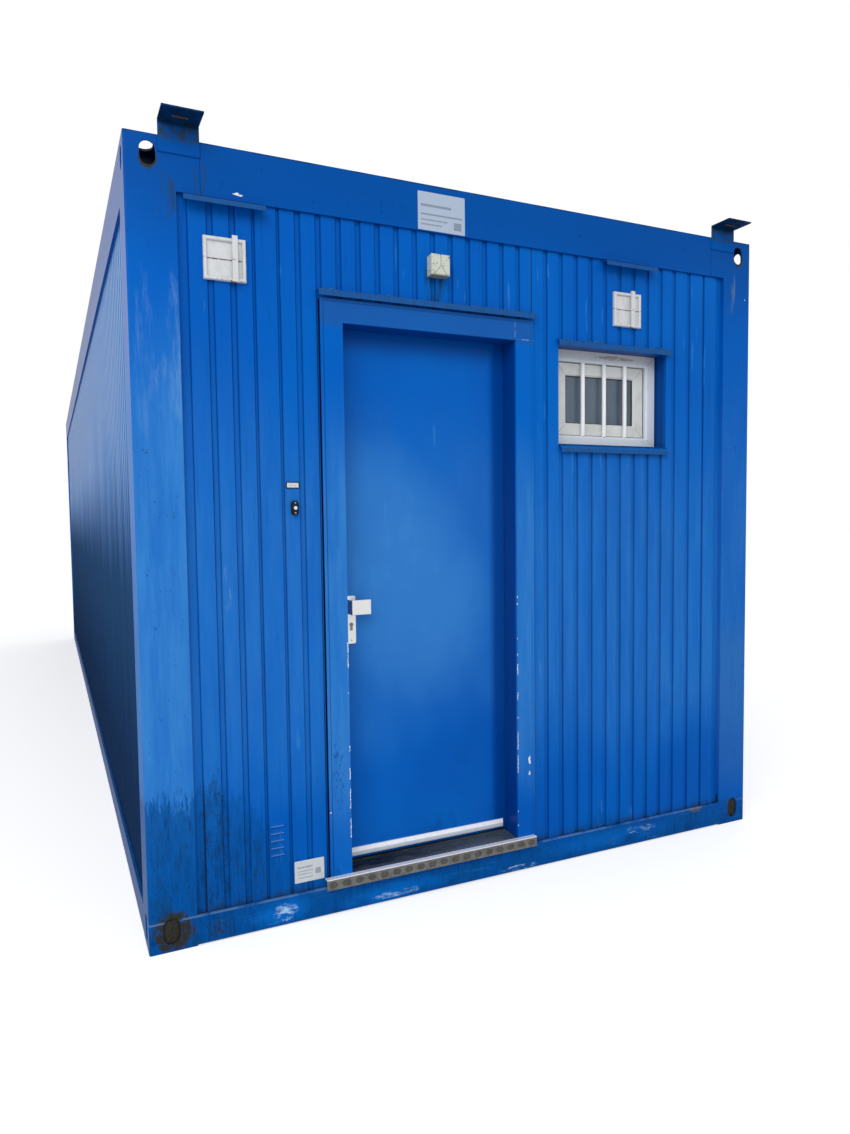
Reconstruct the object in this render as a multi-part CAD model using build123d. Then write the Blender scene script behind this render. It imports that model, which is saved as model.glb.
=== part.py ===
from build123d import *
from math import cos, radians, sin

# One steel-framed living unit: a welded frame of beams, posts and hollow corner fittings, closed with ribbed
# insulated wall panels, a boarded floor and a sheet roof. The door and the barred window are in the front end.
# Millimetres. X runs to the right along the front, Y from the front to the rear, Z up from the ground.

# Overall size over the steel frame
width = 2990.0
length = 9125.0
height = 2975.0

# Corner posts, and the corner fittings that are as deep as the posts
post_side = 176.0
post_wall = 5.0
corner_radius = 7.0
top_fitting_width = 262.0
top_fitting_height = 187.0
bottom_fitting_height = 160.0
fitting_wall = 8.0
hole_inset = 82.0
lifting_hole_drop = 67.0
lifting_hole_width = 55.0
lifting_hole_height = 85.0
foot_hole_rise = 78.0
foot_hole_width = 62.0
foot_hole_height = 100.0
deck_hole_width = 60.0
deck_hole_length = 105.0
hole_end_flats = 8

# Beams, each an open channel that faces inwards
beam_wall = 4.0
base_clearance = 5.0
base_beam_top = 118.0
base_beam_flange = 80.0
roof_end_beam_height = 187.0
roof_side_beam_height = 206.0
roof_beam_flange = 60.0

# Floor and roof
joist_spacing = 620.0
joist_wall = 3.0
joist_flange = 45.0
underside_sheet = 3.0
floor_top = 143.0
ceiling_thickness = 12.0
roof_joist_height = 100.0
roof_rib_pitch = 333.0
roof_rib_crest = 60.0
roof_rib_flank = 30.0
roof_rib_height = 35.0
roof_sheet_thickness = 3.0

# Wall panels, with pressed grooves on the outside and a flat lining inside
panel_recess = 12.0
panel_thickness = 128.0
rib_pitch = 82.6
groove_mouth = 26.0
groove_floor = 16.0
groove_depth = 8.0
narrow_groove_mouth = 15.0
narrow_groove_floor = 6.0
edge_groove = 40.0

# Grooves of the front, from its left edge: each run's first groove and their number, and the narrow grooves
# beside the joints between the sheets
groove_run_starts = (293.0, 625.0, 1760.0, 2597.0)
groove_run_counts = (2, 13, 10, 1)
narrow_grooves = (453.5, 548.0, 2693.5)

# Pressed louvres low in the left panel, placed from the door frame's edge and the floor beam's top
louvre_count = 5
louvre_offset = 213.0
louvre_rise = 169.0
louvre_pitch = 29.0
louvre_width = 60.0
louvre_end_slope = 4.0
louvre_height = 12.0
louvre_reach = 7.0

# Door: its frame is placed from the middle of the front and from the roof beam's lower edge
door_frame_centre = -300.5
door_frame_drop = 316.0
door_frame_width = 980.0
door_frame_face = 92.0
door_frame_proud = 6.0
door_frame_sheet = 3.0
door_frame_flange = 11.0
door_frame_joggle = 3.0
door_inner_flange = 45.0
door_stop_depth = 100.0
door_stop_width = 17.0
leaf_thickness = 40.0
leaf_gap = 5.0
leaf_lock_gap = 7.0
leaf_foot = 168.0
leaf_edge_chamfer = 2.0
sill_top = 157.0
sill_fall = 2.0
threshold_top = 162.0
threshold_length = 36.0
step_width = 996.0
step_shift = -16.0
step_top = 160.0
step_height = 45.0
step_depth = 24.0
step_wall = 3.0
step_grip_count = 18
step_grip_width = 36.0
step_grip_height = 24.0
step_grip_corner = 8.0
step_grip_depth = 1.5
weather_bar_rise = 20.0
weather_bar_height = 28.0
weather_bar_depth = 22.0
weather_bar_lip = 6.0
weather_bar_crest = 7.0
weather_bar_end_gap = 14.0
weather_bar_end_taper = 12.0

# Door hinges and lock
hinge_count = 3
hinge_inset = 252.0
hinge_pin_radius = 5.0
hinge_knuckle_radius = 9.0
hinge_knuckle_length = 55.0
hinge_leaf_width = 60.0
hinge_leaf_thickness = 3.0
hinge_running_gap = 0.3
lock_backset = 62.0
lock_height = 1245.0
lock_plate_width = 40.0
lock_plate_height = 200.0
lock_plate_drop = 156.0
lock_plate_thickness = 6.0
lock_plate_corner = 8.0
knob_width = 86.0
knob_height = 61.0
knob_reach = 60.0
knob_grip_thickness = 14.0
knob_neck_width = 24.0
knob_neck_offset = 19.0
knob_bend_radius = 8.0
knob_edge_chamfer = 1.5
cylinder_drop = 76.0
cylinder_radius = 8.5
cylinder_tail_width = 10.0
cylinder_length = 33.0
cylinder_proud = 3.0
lever_radius = 9.0
lever_reach = 50.0
lever_length = 125.0

# Window, placed from the middle of the front and from the roof beam's lower edge
window_centre = 649.0
window_drop = 403.0
window_width = 622.0
window_height = 447.0
window_setback = 94.0
window_frame_face = 52.0
window_frame_depth = 64.0
window_frame_chamfer = 9.0
sash_gap = 0.3
sash_setback = 22.0
sash_face = 60.0
sash_depth = 34.0
sash_chamfer = 7.0
glass_thickness = 6.0
glass_hold = 8.0
bar_radius = 10.0
bar_setback = 10.0
bar_count = 3
bar_pitch = 124.0
bar_shift = 11.0
sill_sheet = 2.0
sill_drop = 20.0
sill_lip = 18.0
sill_reach = 22.0

# Folded rain hoods over the openings
hood_sheet = 2.0
hood_slope = 0.25
door_hood_reach = 34.0
door_hood_lip = 23.0
door_hood_rise = 36.0
door_hood_overhang = 8.0
window_hood_reach = 24.0
window_hood_lip = 24.0
window_hood_rise = 23.0
window_hood_overhang = 14.0
vent_hood_reach = 50.0
vent_hood_lip = 18.0
vent_hood_width = 297.0
vent_hood_drop = 4.0

# Vents: the left one is placed from the left edge and the right one from the window's middle, both from the
# roof beam's lower edge
left_vent_inset = 344.0
right_vent_offset = 68.0
vent_drop = 217.0
vent_side = 156.0
vent_frame_face = 13.0
vent_frame_depth = 16.0
vent_frame_chamfer = 3.0
vent_blade_thickness = 6.0
vent_blade_gap = 3.0
vent_blade_clearance = 0.3
vent_link_width = 20.0
vent_link_depth = 8.0
vent_link_offsets = (36.0, 24.0)
vent_link_overhang = 9.0
vent_link_foot = 2.0

# Junction box, placed from the door's middle and the roof beam, and bell, placed from the door frame's edge
junction_offset = 23.5
junction_drop = 141.0
junction_width = 84.0
junction_height = 86.0
junction_depth = 48.0
junction_lid = 14.0
junction_lid_lip = 1.5
junction_chamfer = 3.0
bell_offset = 114.5
bell_height = 1654.0
bell_width = 27.0
bell_length = 55.0
bell_depth = 18.0
bell_corner = 7.0
bell_chamfer = 3.0
bell_well_depth = 6.0
bell_button_radius = 7.0
bell_button_gap = 0.3
bell_button_seat = 3.0
bell_button_proud = 3.5
bell_button_chamfer = 1.0

# Angle brackets on the top corners
bracket_edge = 118.0
bracket_width = 144.0
bracket_drop = 57.0
bracket_rise = 56.0
bracket_reach = 115.0
bracket_thickness = 6.0
bracket_slot_length = 60.0
bracket_slot_width = 14.0
bracket_slot_reach = 50.0

# Places worked out from the sizes above
left = -width / 2
front = -length / 2
wall_outer = front + panel_recess
wall_inner = wall_outer + panel_thickness
wall_total = panel_recess + panel_thickness
roof_end_beam_bottom = height - roof_end_beam_height
roof_side_beam_bottom = height - roof_side_beam_height
ceiling_bottom = roof_side_beam_bottom
ceiling_top = ceiling_bottom + ceiling_thickness
door_frame_left = door_frame_centre - door_frame_width / 2
door_frame_right = door_frame_centre + door_frame_width / 2
door_frame_top = roof_end_beam_bottom - door_frame_drop
door_opening_left = door_frame_left + door_frame_face
door_opening_right = door_frame_right - door_frame_face
door_opening_top = door_frame_top - door_frame_face
leaf_left = door_opening_left - door_stop_width + leaf_lock_gap
leaf_right = door_opening_right + door_stop_width - leaf_gap
leaf_front = front + door_stop_depth + leaf_gap
leaf_back = leaf_front + leaf_thickness
leaf_top = door_opening_top + door_stop_width - leaf_gap
hinge_x = leaf_right + leaf_gap / 2
hinge_y = leaf_back + hinge_leaf_thickness + hinge_knuckle_radius - hinge_leaf_thickness / 2
hinge_low = leaf_foot + hinge_inset
hinge_high = leaf_top - hinge_inset
hinge_heights = [hinge_low + i * (hinge_high - hinge_low) / (hinge_count - 1) for i in range(hinge_count)]
lock_x = leaf_left + lock_backset
window_x0 = window_centre - window_width / 2
window_x1 = window_centre + window_width / 2
window_z1 = roof_end_beam_bottom - window_drop
window_z0 = window_z1 - window_height
vent_places = (left + left_vent_inset, window_centre + right_vent_offset)
vent_height = roof_end_beam_bottom - vent_drop
bell_x = door_frame_left - bell_offset


def block(x0, x1, y0, y1, z0, z1):
    """A plain block between two opposite corners."""
    return Pos((x0 + x1) / 2, (y0 + y1) / 2, (z0 + z1) / 2) * Box(x1 - x0, y1 - y0, z1 - z0)


def along_x(points, x0, x1):
    """A section given as (y, z) points, carried from x0 to x1."""
    face = make_face(Polyline([(x0, y, z) for y, z in points], close=True))
    return extrude(face, amount=x1 - x0, dir=(1, 0, 0))


def along_y(points, y0, y1):
    """A section given as (x, z) points, carried from y0 to y1."""
    face = make_face(Polyline([(x, y0, z) for x, z in points], close=True))
    return extrude(face, amount=y1 - y0, dir=(0, 1, 0))


def along_z(points, z0, z1):
    """A section given as (x, y) points, carried from z0 to z1."""
    face = make_face(Polyline([(x, y, z0) for x, y in points], close=True))
    return extrude(face, amount=z1 - z0, dir=(0, 0, 1))


def mirrored_x(shape):
    return mirror(shape, about=Plane.YZ)


def mirrored_y(shape):
    return mirror(shape, about=Plane.XZ)


def on_four_corners(shape):
    """The front left piece and its three mirror images."""
    right = mirrored_x(shape)
    return {
        "front_left": shape,
        "front_right": right,
        "rear_left": mirrored_y(shape),
        "rear_right": mirrored_y(right),
    }


def channel(web, flange, low, high, wall):
    """An open channel section, web at the outside and lips inwards, as (distance from the face, z) points."""
    return [
        (web, low),
        (web + flange, low),
        (web + flange, low + wall),
        (web + wall, low + wall),
        (web + wall, high - wall),
        (web + flange, high - wall),
        (web + flange, high),
        (web, high),
    ]


# Corner fittings: hollow boxes with an obround hole in the end, the side and the top or bottom face. The holes
# repeat, so each rounded end is a few flats.
def obround(wide, tall):
    """The outline of an obround hole round the origin, tall along its second axis, as a list of points."""
    radius = wide / 2
    centre = tall / 2 - radius
    points = []
    for side in (1, -1):
        for i in range(hole_end_flats + 1):
            angle = radians(180 * i / hole_end_flats)
            points.append((side * radius * cos(angle), side * (centre + radius * sin(angle))))
    return points


def rounded_corner(shape):
    """Rounds the upright edge at the unit's front left corner."""
    corner = shape.edges().filter_by(Axis.Z).sort_by(lambda edge: edge.center().X + edge.center().Y)[0]
    return fillet(corner, corner_radius)


def corner_fitting(x1, low, high, hole_rise, hole_wide, hole_tall, deck_face):
    """A hollow fitting at the front left corner, with its deck hole through the face at the height deck_face."""
    y1, t = front + post_side, fitting_wall
    shell = rounded_corner(block(left, x1, front, y1, low, high))
    shell -= block(left + t, x1 - t, front + t, y1 - t, low + t, high - t)
    hole_x, hole_y = left + hole_inset, front + hole_inset
    side_hole = [(across, hole_rise + up) for across, up in obround(hole_wide, hole_tall)]
    shell -= along_y([(hole_x + across, z) for across, z in side_hole], front - t, front + 2 * t)
    shell -= along_x([(hole_y + across, z) for across, z in side_hole], left - t, left + 2 * t)
    deck_hole = [(hole_x + x, hole_y + y) for x, y in obround(deck_hole_width, deck_hole_length)]
    return shell - along_z(deck_hole, deck_face - 2 * t, deck_face + 2 * t)


def top_fitting():
    return corner_fitting(
        left + top_fitting_width, height - top_fitting_height, height, height - lifting_hole_drop,
        lifting_hole_width, lifting_hole_height, height,
    )


def bottom_fitting():
    return corner_fitting(
        left + post_side, 0, bottom_fitting_height, foot_hole_rise, foot_hole_width, foot_hole_height, 0
    )


def corner_post():
    low, high = bottom_fitting_height, height - top_fitting_height
    tube = rounded_corner(block(left, left + post_side, front, front + post_side, low, high))
    tube -= block(
        left + post_wall, left + post_side - post_wall, front + post_wall, front + post_side - post_wall,
        low, high,
    )
    return tube


# Beams of the base and of the roof
def base_beams():
    section = channel(0, base_beam_flange, base_clearance, base_beam_top, beam_wall)
    end_reach, side_reach = -left - post_side, -front - post_side
    end_beam = along_x([(front + d, z) for d, z in section], -end_reach, end_reach)
    side_beam = along_y([(left + d, z) for d, z in section], -side_reach, side_reach)
    return Compound(children=[end_beam, mirrored_y(end_beam), side_beam, mirrored_x(side_beam)])


def roof_beams():
    end_section = channel(0, roof_beam_flange, roof_end_beam_bottom, height, beam_wall)
    side_section = channel(0, roof_beam_flange, roof_side_beam_bottom, height, beam_wall)
    end_reach, side_reach = -left - top_fitting_width, -front - post_side
    end_beam = along_x([(front + d, z) for d, z in end_section], -end_reach, end_reach)
    side_beam = along_y([(left + d, z) for d, z in side_section], -side_reach, side_reach)
    return Compound(children=[end_beam, mirrored_y(end_beam), side_beam, mirrored_x(side_beam)])


# Floor: joists between the base side beams, a sheet below them and boards on top
def joist_places():
    span = length - 2 * (post_side + joist_flange)
    count = int(span // joist_spacing) + 1
    step = span / (count - 1)
    return [-span / 2 + i * step for i in range(count)]


def joists(low, high):
    reach = -left - beam_wall
    pieces = []
    for y in joist_places():
        section = channel(y - joist_flange / 2, joist_flange, low, high, joist_wall)
        pieces.append(along_x(section, -reach, reach))
    return Compound(children=pieces)


def without_corners(sheet, corner_x, corner_y, low, high):
    """Notches a sheet round the four corner fittings."""
    notch = block(left, left + corner_x, front, front + corner_y, low, high)
    for piece in on_four_corners(notch).values():
        sheet -= piece
    return sheet


def floor_underside():
    low = base_clearance + beam_wall
    reach_x, reach_y = -left - beam_wall, -front - beam_wall
    sheet = block(-reach_x, reach_x, -reach_y, reach_y, low, low + underside_sheet)
    return without_corners(sheet, post_side, post_side, low, low + underside_sheet)


def floor_deck():
    low = base_beam_top - beam_wall
    reach_x, reach_y = -left - wall_total, -front - wall_total
    deck = block(-reach_x, reach_x, -reach_y, reach_y, low, floor_top)
    return without_corners(deck, post_side, post_side, low, floor_top)


# Roof: ceiling lining, joists, and a trapezoidal sheet that lies between the roof beams
def ceiling_panel():
    reach_x, reach_y = -left - roof_beam_flange, -front - wall_total
    panel = block(-reach_x, reach_x, -reach_y, reach_y, ceiling_bottom, ceiling_top)
    return without_corners(panel, post_side, post_side, ceiling_bottom, ceiling_top)


def roof_sheet():
    low = ceiling_top + roof_joist_height
    reach_x, reach_y = -left - beam_wall, -front - beam_wall
    count = int((2 * reach_y) // roof_rib_pitch)
    start = -count * roof_rib_pitch / 2
    half_crest = roof_rib_crest / 2
    top_line = [(-reach_y, low + roof_sheet_thickness)]
    for i in range(count):
        y = start + (i + 0.5) * roof_rib_pitch
        foot, crest = low + roof_sheet_thickness, low + roof_rib_height
        top_line += [
            (y - half_crest - roof_rib_flank, foot), (y - half_crest, crest),
            (y + half_crest, crest), (y + half_crest + roof_rib_flank, foot),
        ]
    top_line.append((reach_y, low + roof_sheet_thickness))
    under_line = [(y, z - roof_sheet_thickness) for y, z in reversed(top_line)]
    sheet = along_x(top_line + under_line, -reach_x, reach_x)
    return without_corners(sheet, top_fitting_width, post_side, low, low + roof_rib_height)


# Wall panels
def ribbed_panel(start, end, grooves, outer, inner):
    """Outline of a panel seen from above, as (distance along the wall, distance from its outer face) points.

    Grooves are given as (place, mouth, floor). The sheet dips to their depth along each post too.
    """
    low = outer + groove_depth
    flank = (groove_mouth - groove_floor) / 2
    first, last = start + edge_groove, end - edge_groove
    points = [(start, low), (first - flank, low), (first, outer)]
    for place, mouth, floor in sorted(grooves):
        if first < place - mouth / 2 and place + mouth / 2 < last:
            points += [
                (place - mouth / 2, outer), (place - floor / 2, low), (place + floor / 2, low),
                (place + mouth / 2, outer),
            ]
    return points + [(last, outer), (last + flank, low), (end, low), (end, inner), (start, inner)]


def front_grooves():
    """The grooves of the front: its runs, the narrow ones at the joints, and more where the front is wider."""
    runs = zip(groove_run_starts, groove_run_counts)
    places = [start + i * rib_pitch for start, count in runs for i in range(count)]
    beyond = max(narrow_grooves) + rib_pitch
    while beyond < width:
        places.append(beyond)
        beyond += rib_pitch
    wide = [(left + place, groove_mouth, groove_floor) for place in places]
    return wide + [(left + place, narrow_groove_mouth, narrow_groove_floor) for place in narrow_grooves]


def front_wall():
    reach = -left - post_side
    outline = ribbed_panel(-reach, reach, front_grooves(), wall_outer, wall_inner)
    return along_z(outline, base_beam_top, roof_end_beam_bottom)


def louvres():
    """Louvres pressed out of the sheet: wedges that slope back at their ends."""
    x = door_frame_left - louvre_offset
    half, back, nose = louvre_width / 2, wall_outer + groove_depth, wall_outer - louvre_reach
    slope = louvre_end_slope
    plan = [(x - half, back), (x - half + slope, nose), (x + half - slope, nose), (x + half, back)]
    pieces = []
    for i in range(louvre_count):
        z0 = base_beam_top + louvre_rise + i * louvre_pitch
        z1 = z0 + louvre_height
        wedge = along_x([(back, z0), (nose, z0), (wall_outer, z1), (back, z1)], x - half, x + half)
        pieces.append(wedge & along_z(plan, z0, z1))
    return pieces


def front_wall_pieces():
    """The front wall cut beside and over the doorway and round the window."""
    wall = front_wall()
    x0, x1 = left + post_side, -left - post_side
    frame_x0, frame_x1 = door_frame_left, door_frame_right
    low, high = base_beam_top, roof_end_beam_bottom
    regions = {
        "front_wall_left": (x0, frame_x0, low, high),
        "front_wall_over_door": (frame_x0, frame_x1, door_frame_top, high),
        "front_wall_middle": (frame_x1, window_x0, low, high),
        "front_wall_under_window": (window_x0, window_x1, low, window_z0),
        "front_wall_over_window": (window_x0, window_x1, window_z1, high),
        "front_wall_right": (window_x1, x1, low, high),
    }
    pieces = {
        name: wall & block(a, b, front, wall_inner, c, d)
        for name, (a, b, c, d) in regions.items()
    }
    pieces["front_wall_left"] += louvres()
    return pieces


def rear_wall():
    return mirrored_y(front_wall())


def side_wall():
    """The left side wall, with as many whole ribs as fit between the posts."""
    reach = -front - post_side
    count = int(2 * (reach - edge_groove) // rib_pitch)
    grooves = [((i - (count - 1) / 2) * rib_pitch, groove_mouth, groove_floor) for i in range(count)]
    outline = ribbed_panel(-reach, reach, grooves, left + panel_recess, left + wall_total)
    return along_z([(x, y) for y, x in outline], base_beam_top, roof_side_beam_bottom)


# Door frame: one folded sheet section, carried up both jambs and across the head
def jamb_section():
    """Section of a jamb as (distance from the opening's edge, y) points.

    From outside in: a joggled flange on the wall panel, the face, the reveal, the stop, the rebate and the lip.
    """
    t, joggle = door_frame_sheet, door_frame_joggle
    face = door_frame_face
    bend = face - door_frame_flange
    stop, rebate = front + door_stop_depth, wall_inner + t
    lip = door_stop_width + door_inner_flange
    y0 = front - door_frame_proud
    return [
        (face, y0 + joggle), (bend, y0 + joggle), (bend - joggle, y0), (0, y0), (0, stop), (door_stop_width, stop), (door_stop_width, rebate), (lip, rebate),
        (lip, rebate - t), (door_stop_width + t, rebate - t), (door_stop_width + t, stop - t), (t, stop - t),
        (t, y0 + t), (bend - joggle, y0 + t), (bend, y0 + joggle + t), (face, y0 + joggle + t),
    ]


def door_frame():
    section = jamb_section()
    x0, x1, top = door_opening_left, door_opening_right, door_opening_top
    reach = door_frame_face
    left_jamb = along_z([(x0 - d, y) for d, y in section], base_beam_top, top + reach)
    right_jamb = along_z([(x1 + d, y) for d, y in section], base_beam_top, top + reach)
    head = along_x([(y, top + d) for d, y in section], x0 - reach, x1 + reach)
    far = wall_inner + 2 * door_frame_sheet
    near = front - 2 * door_frame_proud
    mitre_left = along_y([(x0, top), (x0 - 2 * reach, top + 2 * reach), (x0 - 2 * reach, top)], near, far)
    mitre_right = along_y([(x1, top), (x1 + 2 * reach, top + 2 * reach), (x1 + 2 * reach, top)], near, far)
    below = block(x0 - 2 * reach, x1 + 2 * reach, near, far, 0, top)
    frame = (left_jamb & (below + mitre_left)) + (right_jamb & (below + mitre_right))
    frame += head - mitre_left - mitre_right - below
    return frame - block(x0 - 2 * reach, x1 + 2 * reach, wall_inner, far, 0, floor_top)


def door_sill():
    """The insulated sill between the jambs, with its raised threshold strip under the leaf."""
    back = wall_inner
    strip = back - threshold_length
    points = [
        (front, base_beam_top), (front, sill_top - sill_fall), (strip, sill_top), (strip, threshold_top),
        (back, threshold_top), (back, base_beam_top),
    ]
    return along_x(points, door_opening_left, door_opening_right)


def door_step():
    """The folded step nosing in front of the sill, with pressed grips along its face."""
    centre = door_frame_centre + step_shift
    y1 = front - door_frame_proud
    y0, z0, t = y1 - step_depth, step_top - step_height, step_wall
    points = [
        (y0, z0), (y0, step_top), (y1, step_top), (y1, step_top - t), (y0 + t, step_top - t), (y0 + t, z0),
    ]
    step = along_x(points, centre - step_width / 2, centre + step_width / 2)
    pitch = step_width / step_grip_count
    middle = step_top - t - (step_height - t) / 2
    half_x, half_z = step_grip_width / 2, step_grip_height / 2
    flat_x, flat_z = half_x - step_grip_corner, half_z - step_grip_corner
    grip = [
        (half_x, -flat_z), (half_x, flat_z), (flat_x, half_z), (-flat_x, half_z),
        (-half_x, flat_z), (-half_x, -flat_z), (-flat_x, -half_z), (flat_x, -half_z),
    ]
    for i in range(step_grip_count):
        x = centre + (i - (step_grip_count - 1) / 2) * pitch
        step -= along_y([(x + across, middle + up) for across, up in grip], y0, y0 + step_grip_depth)
    return step


# Door leaf and what it carries
def door_leaf():
    leaf = block(leaf_left, leaf_right, leaf_front, leaf_back, leaf_foot, leaf_top)
    return chamfer(leaf.faces().sort_by(Axis.Y)[0].edges(), leaf_edge_chamfer)


def weather_bar():
    """The drip bar across the leaf's foot, with ends that slope back to the leaf."""
    z0, nose = leaf_foot + weather_bar_rise, leaf_front - weather_bar_depth
    z1 = z0 + weather_bar_height
    section = [
        (leaf_front, z0), (nose, z0), (nose, z0 + weather_bar_lip), (leaf_front - weather_bar_crest, z1),
        (leaf_front, z1),
    ]
    x0, x1 = door_opening_left + weather_bar_end_gap, door_opening_right - weather_bar_end_gap
    taper = weather_bar_end_taper
    plan = [(x0, leaf_front), (x0 + taper, nose), (x1 - taper, nose), (x1, leaf_front)]
    return along_x(section, x0, x1) & along_z(plan, z0, z1)


def hinge_pins():
    """The lower halves of the lift-off hinges, with their pins, on the frame's lip."""
    halves = []
    for z in hinge_heights:
        knuckle = Pos(hinge_x, hinge_y, z - hinge_knuckle_length / 2) * Cylinder(
            hinge_knuckle_radius, hinge_knuckle_length
        )
        pin = Pos(hinge_x, hinge_y, z + hinge_knuckle_length / 2) * Cylinder(
            hinge_pin_radius, hinge_knuckle_length
        )
        plate = block(
            hinge_x, hinge_x + door_inner_flange - hinge_knuckle_radius, wall_inner + door_frame_sheet,
            hinge_y - hinge_knuckle_radius + hinge_leaf_thickness, z - hinge_knuckle_length, z,
        )
        halves.append(knuckle + pin + plate)
    return Compound(children=halves)


def hinge_leaves():
    """The upper halves of the hinges, on the inner face of the leaf."""
    halves = []
    for z in hinge_heights:
        z0 = z + hinge_running_gap
        z1 = z0 + hinge_knuckle_length
        knuckle = Pos(hinge_x, hinge_y, (z0 + z1) / 2) * Cylinder(hinge_knuckle_radius, z1 - z0)
        plate = block(
            hinge_x - hinge_leaf_width, hinge_x, leaf_back, leaf_back + hinge_leaf_thickness, z0, z1,
        )
        bore = Pos(hinge_x, hinge_y, (z0 + z1) / 2) * Cylinder(
            hinge_pin_radius + hinge_running_gap, 2 * hinge_knuckle_length
        )
        halves.append(knuckle + plate - bore)
    return Compound(children=halves)


def lock_plate(y0, y1):
    z0 = lock_height - lock_plate_drop
    half = lock_plate_width / 2
    plate = block(lock_x - half, lock_x + half, y0, y1, z0, z0 + lock_plate_height)
    return fillet(plate.edges().filter_by(Axis.Y), lock_plate_corner)


def outer_lock_plate():
    """The outer plate with the lock cylinder: a round head over a narrower tail."""
    face, proud = leaf_front - lock_plate_thickness, cylinder_proud
    z = lock_height - cylinder_drop
    low = z + cylinder_radius - cylinder_length
    head = Pos(lock_x, face - proud / 2, z) * Rot(90, 0, 0) * Cylinder(cylinder_radius, proud)
    tail = block(
        lock_x - cylinder_tail_width / 2, lock_x + cylinder_tail_width / 2, face - proud, face, low, z
    )
    return lock_plate(face, leaf_front) + head + tail


def door_knob():
    """The fixed offset pull: a neck of full height that bends into a flat grip over the leaf."""
    face = leaf_front - lock_plate_thickness
    x0 = lock_x - knob_neck_offset
    far, inner = face - knob_reach, face - knob_reach + knob_grip_thickness
    z0, z1 = lock_height - knob_height / 2, lock_height + knob_height / 2
    plan = [
        (x0, face), (x0, far), (x0 + knob_width, far), (x0 + knob_width, inner),
        (x0 + knob_neck_width, inner), (x0 + knob_neck_width, face),
    ]
    knob = along_z(plan, z0, z1)
    bend = knob.edges().filter_by(Axis.Z).sort_by(lambda edge: edge.center().X + edge.center().Y)[0]
    knob = fillet(bend, knob_bend_radius)
    return chamfer(knob.faces().sort_by(Axis.Y)[0].edges(), knob_edge_chamfer)


def inner_lock_plate():
    return lock_plate(leaf_back, leaf_back + lock_plate_thickness)


def inner_lever():
    face = leaf_back + lock_plate_thickness
    neck = Pos(lock_x, face + lever_reach / 2, lock_height) * Rot(90, 0, 0) * Cylinder(lever_radius, lever_reach)
    grip = Pos(lock_x + lever_length / 2 - lever_radius, face + lever_reach, lock_height) * Rot(
        0, 90, 0
    ) * Cylinder(lever_radius, lever_length)
    return neck + grip


# Window
def picture_frame(x0, x1, z0, z1, face, y0, y1):
    """A rectangular frame of one face width, between two depths."""
    return block(x0, x1, y0, y1, z0, z1) - block(x0 + face, x1 - face, y0, y1, z0 + face, z1 - face)


def bevelled_inside(frame, size):
    """Bevels the inner edge of a frame's front face."""
    return chamfer(frame.faces().sort_by(Axis.Y)[0].inner_wires()[0].edges(), size)


def window_frame():
    y0 = front + window_setback
    frame = picture_frame(
        window_x0, window_x1, window_z0, window_z1, window_frame_face, y0, y0 + window_frame_depth
    )
    return bevelled_inside(frame, window_frame_chamfer)


def sash_box():
    inset = window_frame_face + sash_gap
    y0 = front + window_setback + sash_setback
    return (
        window_x0 + inset, window_x1 - inset, window_z0 + inset, window_z1 - inset, y0, y0 + sash_depth,
    )


def window_sash():
    x0, x1, z0, z1, y0, y1 = sash_box()
    sash = bevelled_inside(picture_frame(x0, x1, z0, z1, sash_face, y0, y1), sash_chamfer)
    groove = sash_face - glass_hold
    middle = (y0 + y1) / 2
    sash -= block(
        x0 + groove, x1 - groove, middle - glass_thickness / 2, middle + glass_thickness / 2,
        z0 + groove, z1 - groove,
    )
    return sash


def window_glass():
    x0, x1, z0, z1, y0, y1 = sash_box()
    groove = sash_face - glass_hold
    middle = (y0 + y1) / 2
    return block(
        x0 + groove, x1 - groove, middle - glass_thickness / 2, middle + glass_thickness / 2,
        z0 + groove, z1 - groove,
    )


def window_bars():
    y = front + window_setback + bar_setback
    z0, z1 = window_z0 + window_frame_face, window_z1 - window_frame_face
    first = window_centre + bar_shift - (bar_count - 1) / 2 * bar_pitch
    bars = [
        Pos(first + i * bar_pitch, y, (z0 + z1) / 2) * Cylinder(bar_radius, z1 - z0)
        for i in range(bar_count)
    ]
    return Compound(children=bars)


def window_sill():
    """The drip flashing of the window opening: flat under the frame, falling outside, with a hanging lip."""
    y0, y1 = wall_outer - sill_reach, front + window_setback
    z, t = window_z0, sill_sheet
    low = z - sill_drop
    points = [
        (y1, z), (y1, z + t), (wall_outer, z + t), (y0, low + t), (y0, low + t - sill_lip),
        (y0 + t, low + t - sill_lip), (y0 + t, low), (wall_outer, z),
    ]
    return along_x(points, window_x0, window_x1)


# Rain hoods
def hood(x0, x1, top, reach, lip):
    """A folded hood: a roof that falls away from the wall and ends in a hanging lip."""
    y1, t = wall_outer, hood_sheet
    y0 = y1 - reach
    drop = top - hood_slope * reach
    points = [(y1, top), (y0, drop), (y0, drop - lip), (y0 + t, drop - lip), (y0 + t, drop - t), (y1, top - t)]
    return along_x(points, x0, x1)


def rain_hoods():
    x0, x1 = door_frame_left - door_hood_overhang, door_frame_right + door_hood_overhang
    hoods = [hood(x0, x1, door_frame_top + door_hood_rise, door_hood_reach, door_hood_lip)]
    x0, x1 = window_x0 - window_hood_overhang, window_x1 + window_hood_overhang
    hoods.append(hood(x0, x1, window_z1 + window_hood_rise, window_hood_reach, window_hood_lip))
    top, half = roof_end_beam_bottom - vent_hood_drop, vent_hood_width / 2
    for x in vent_places:
        hoods.append(hood(x - half, x + half, top, vent_hood_reach, vent_hood_lip))
    return Compound(children=hoods)


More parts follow.
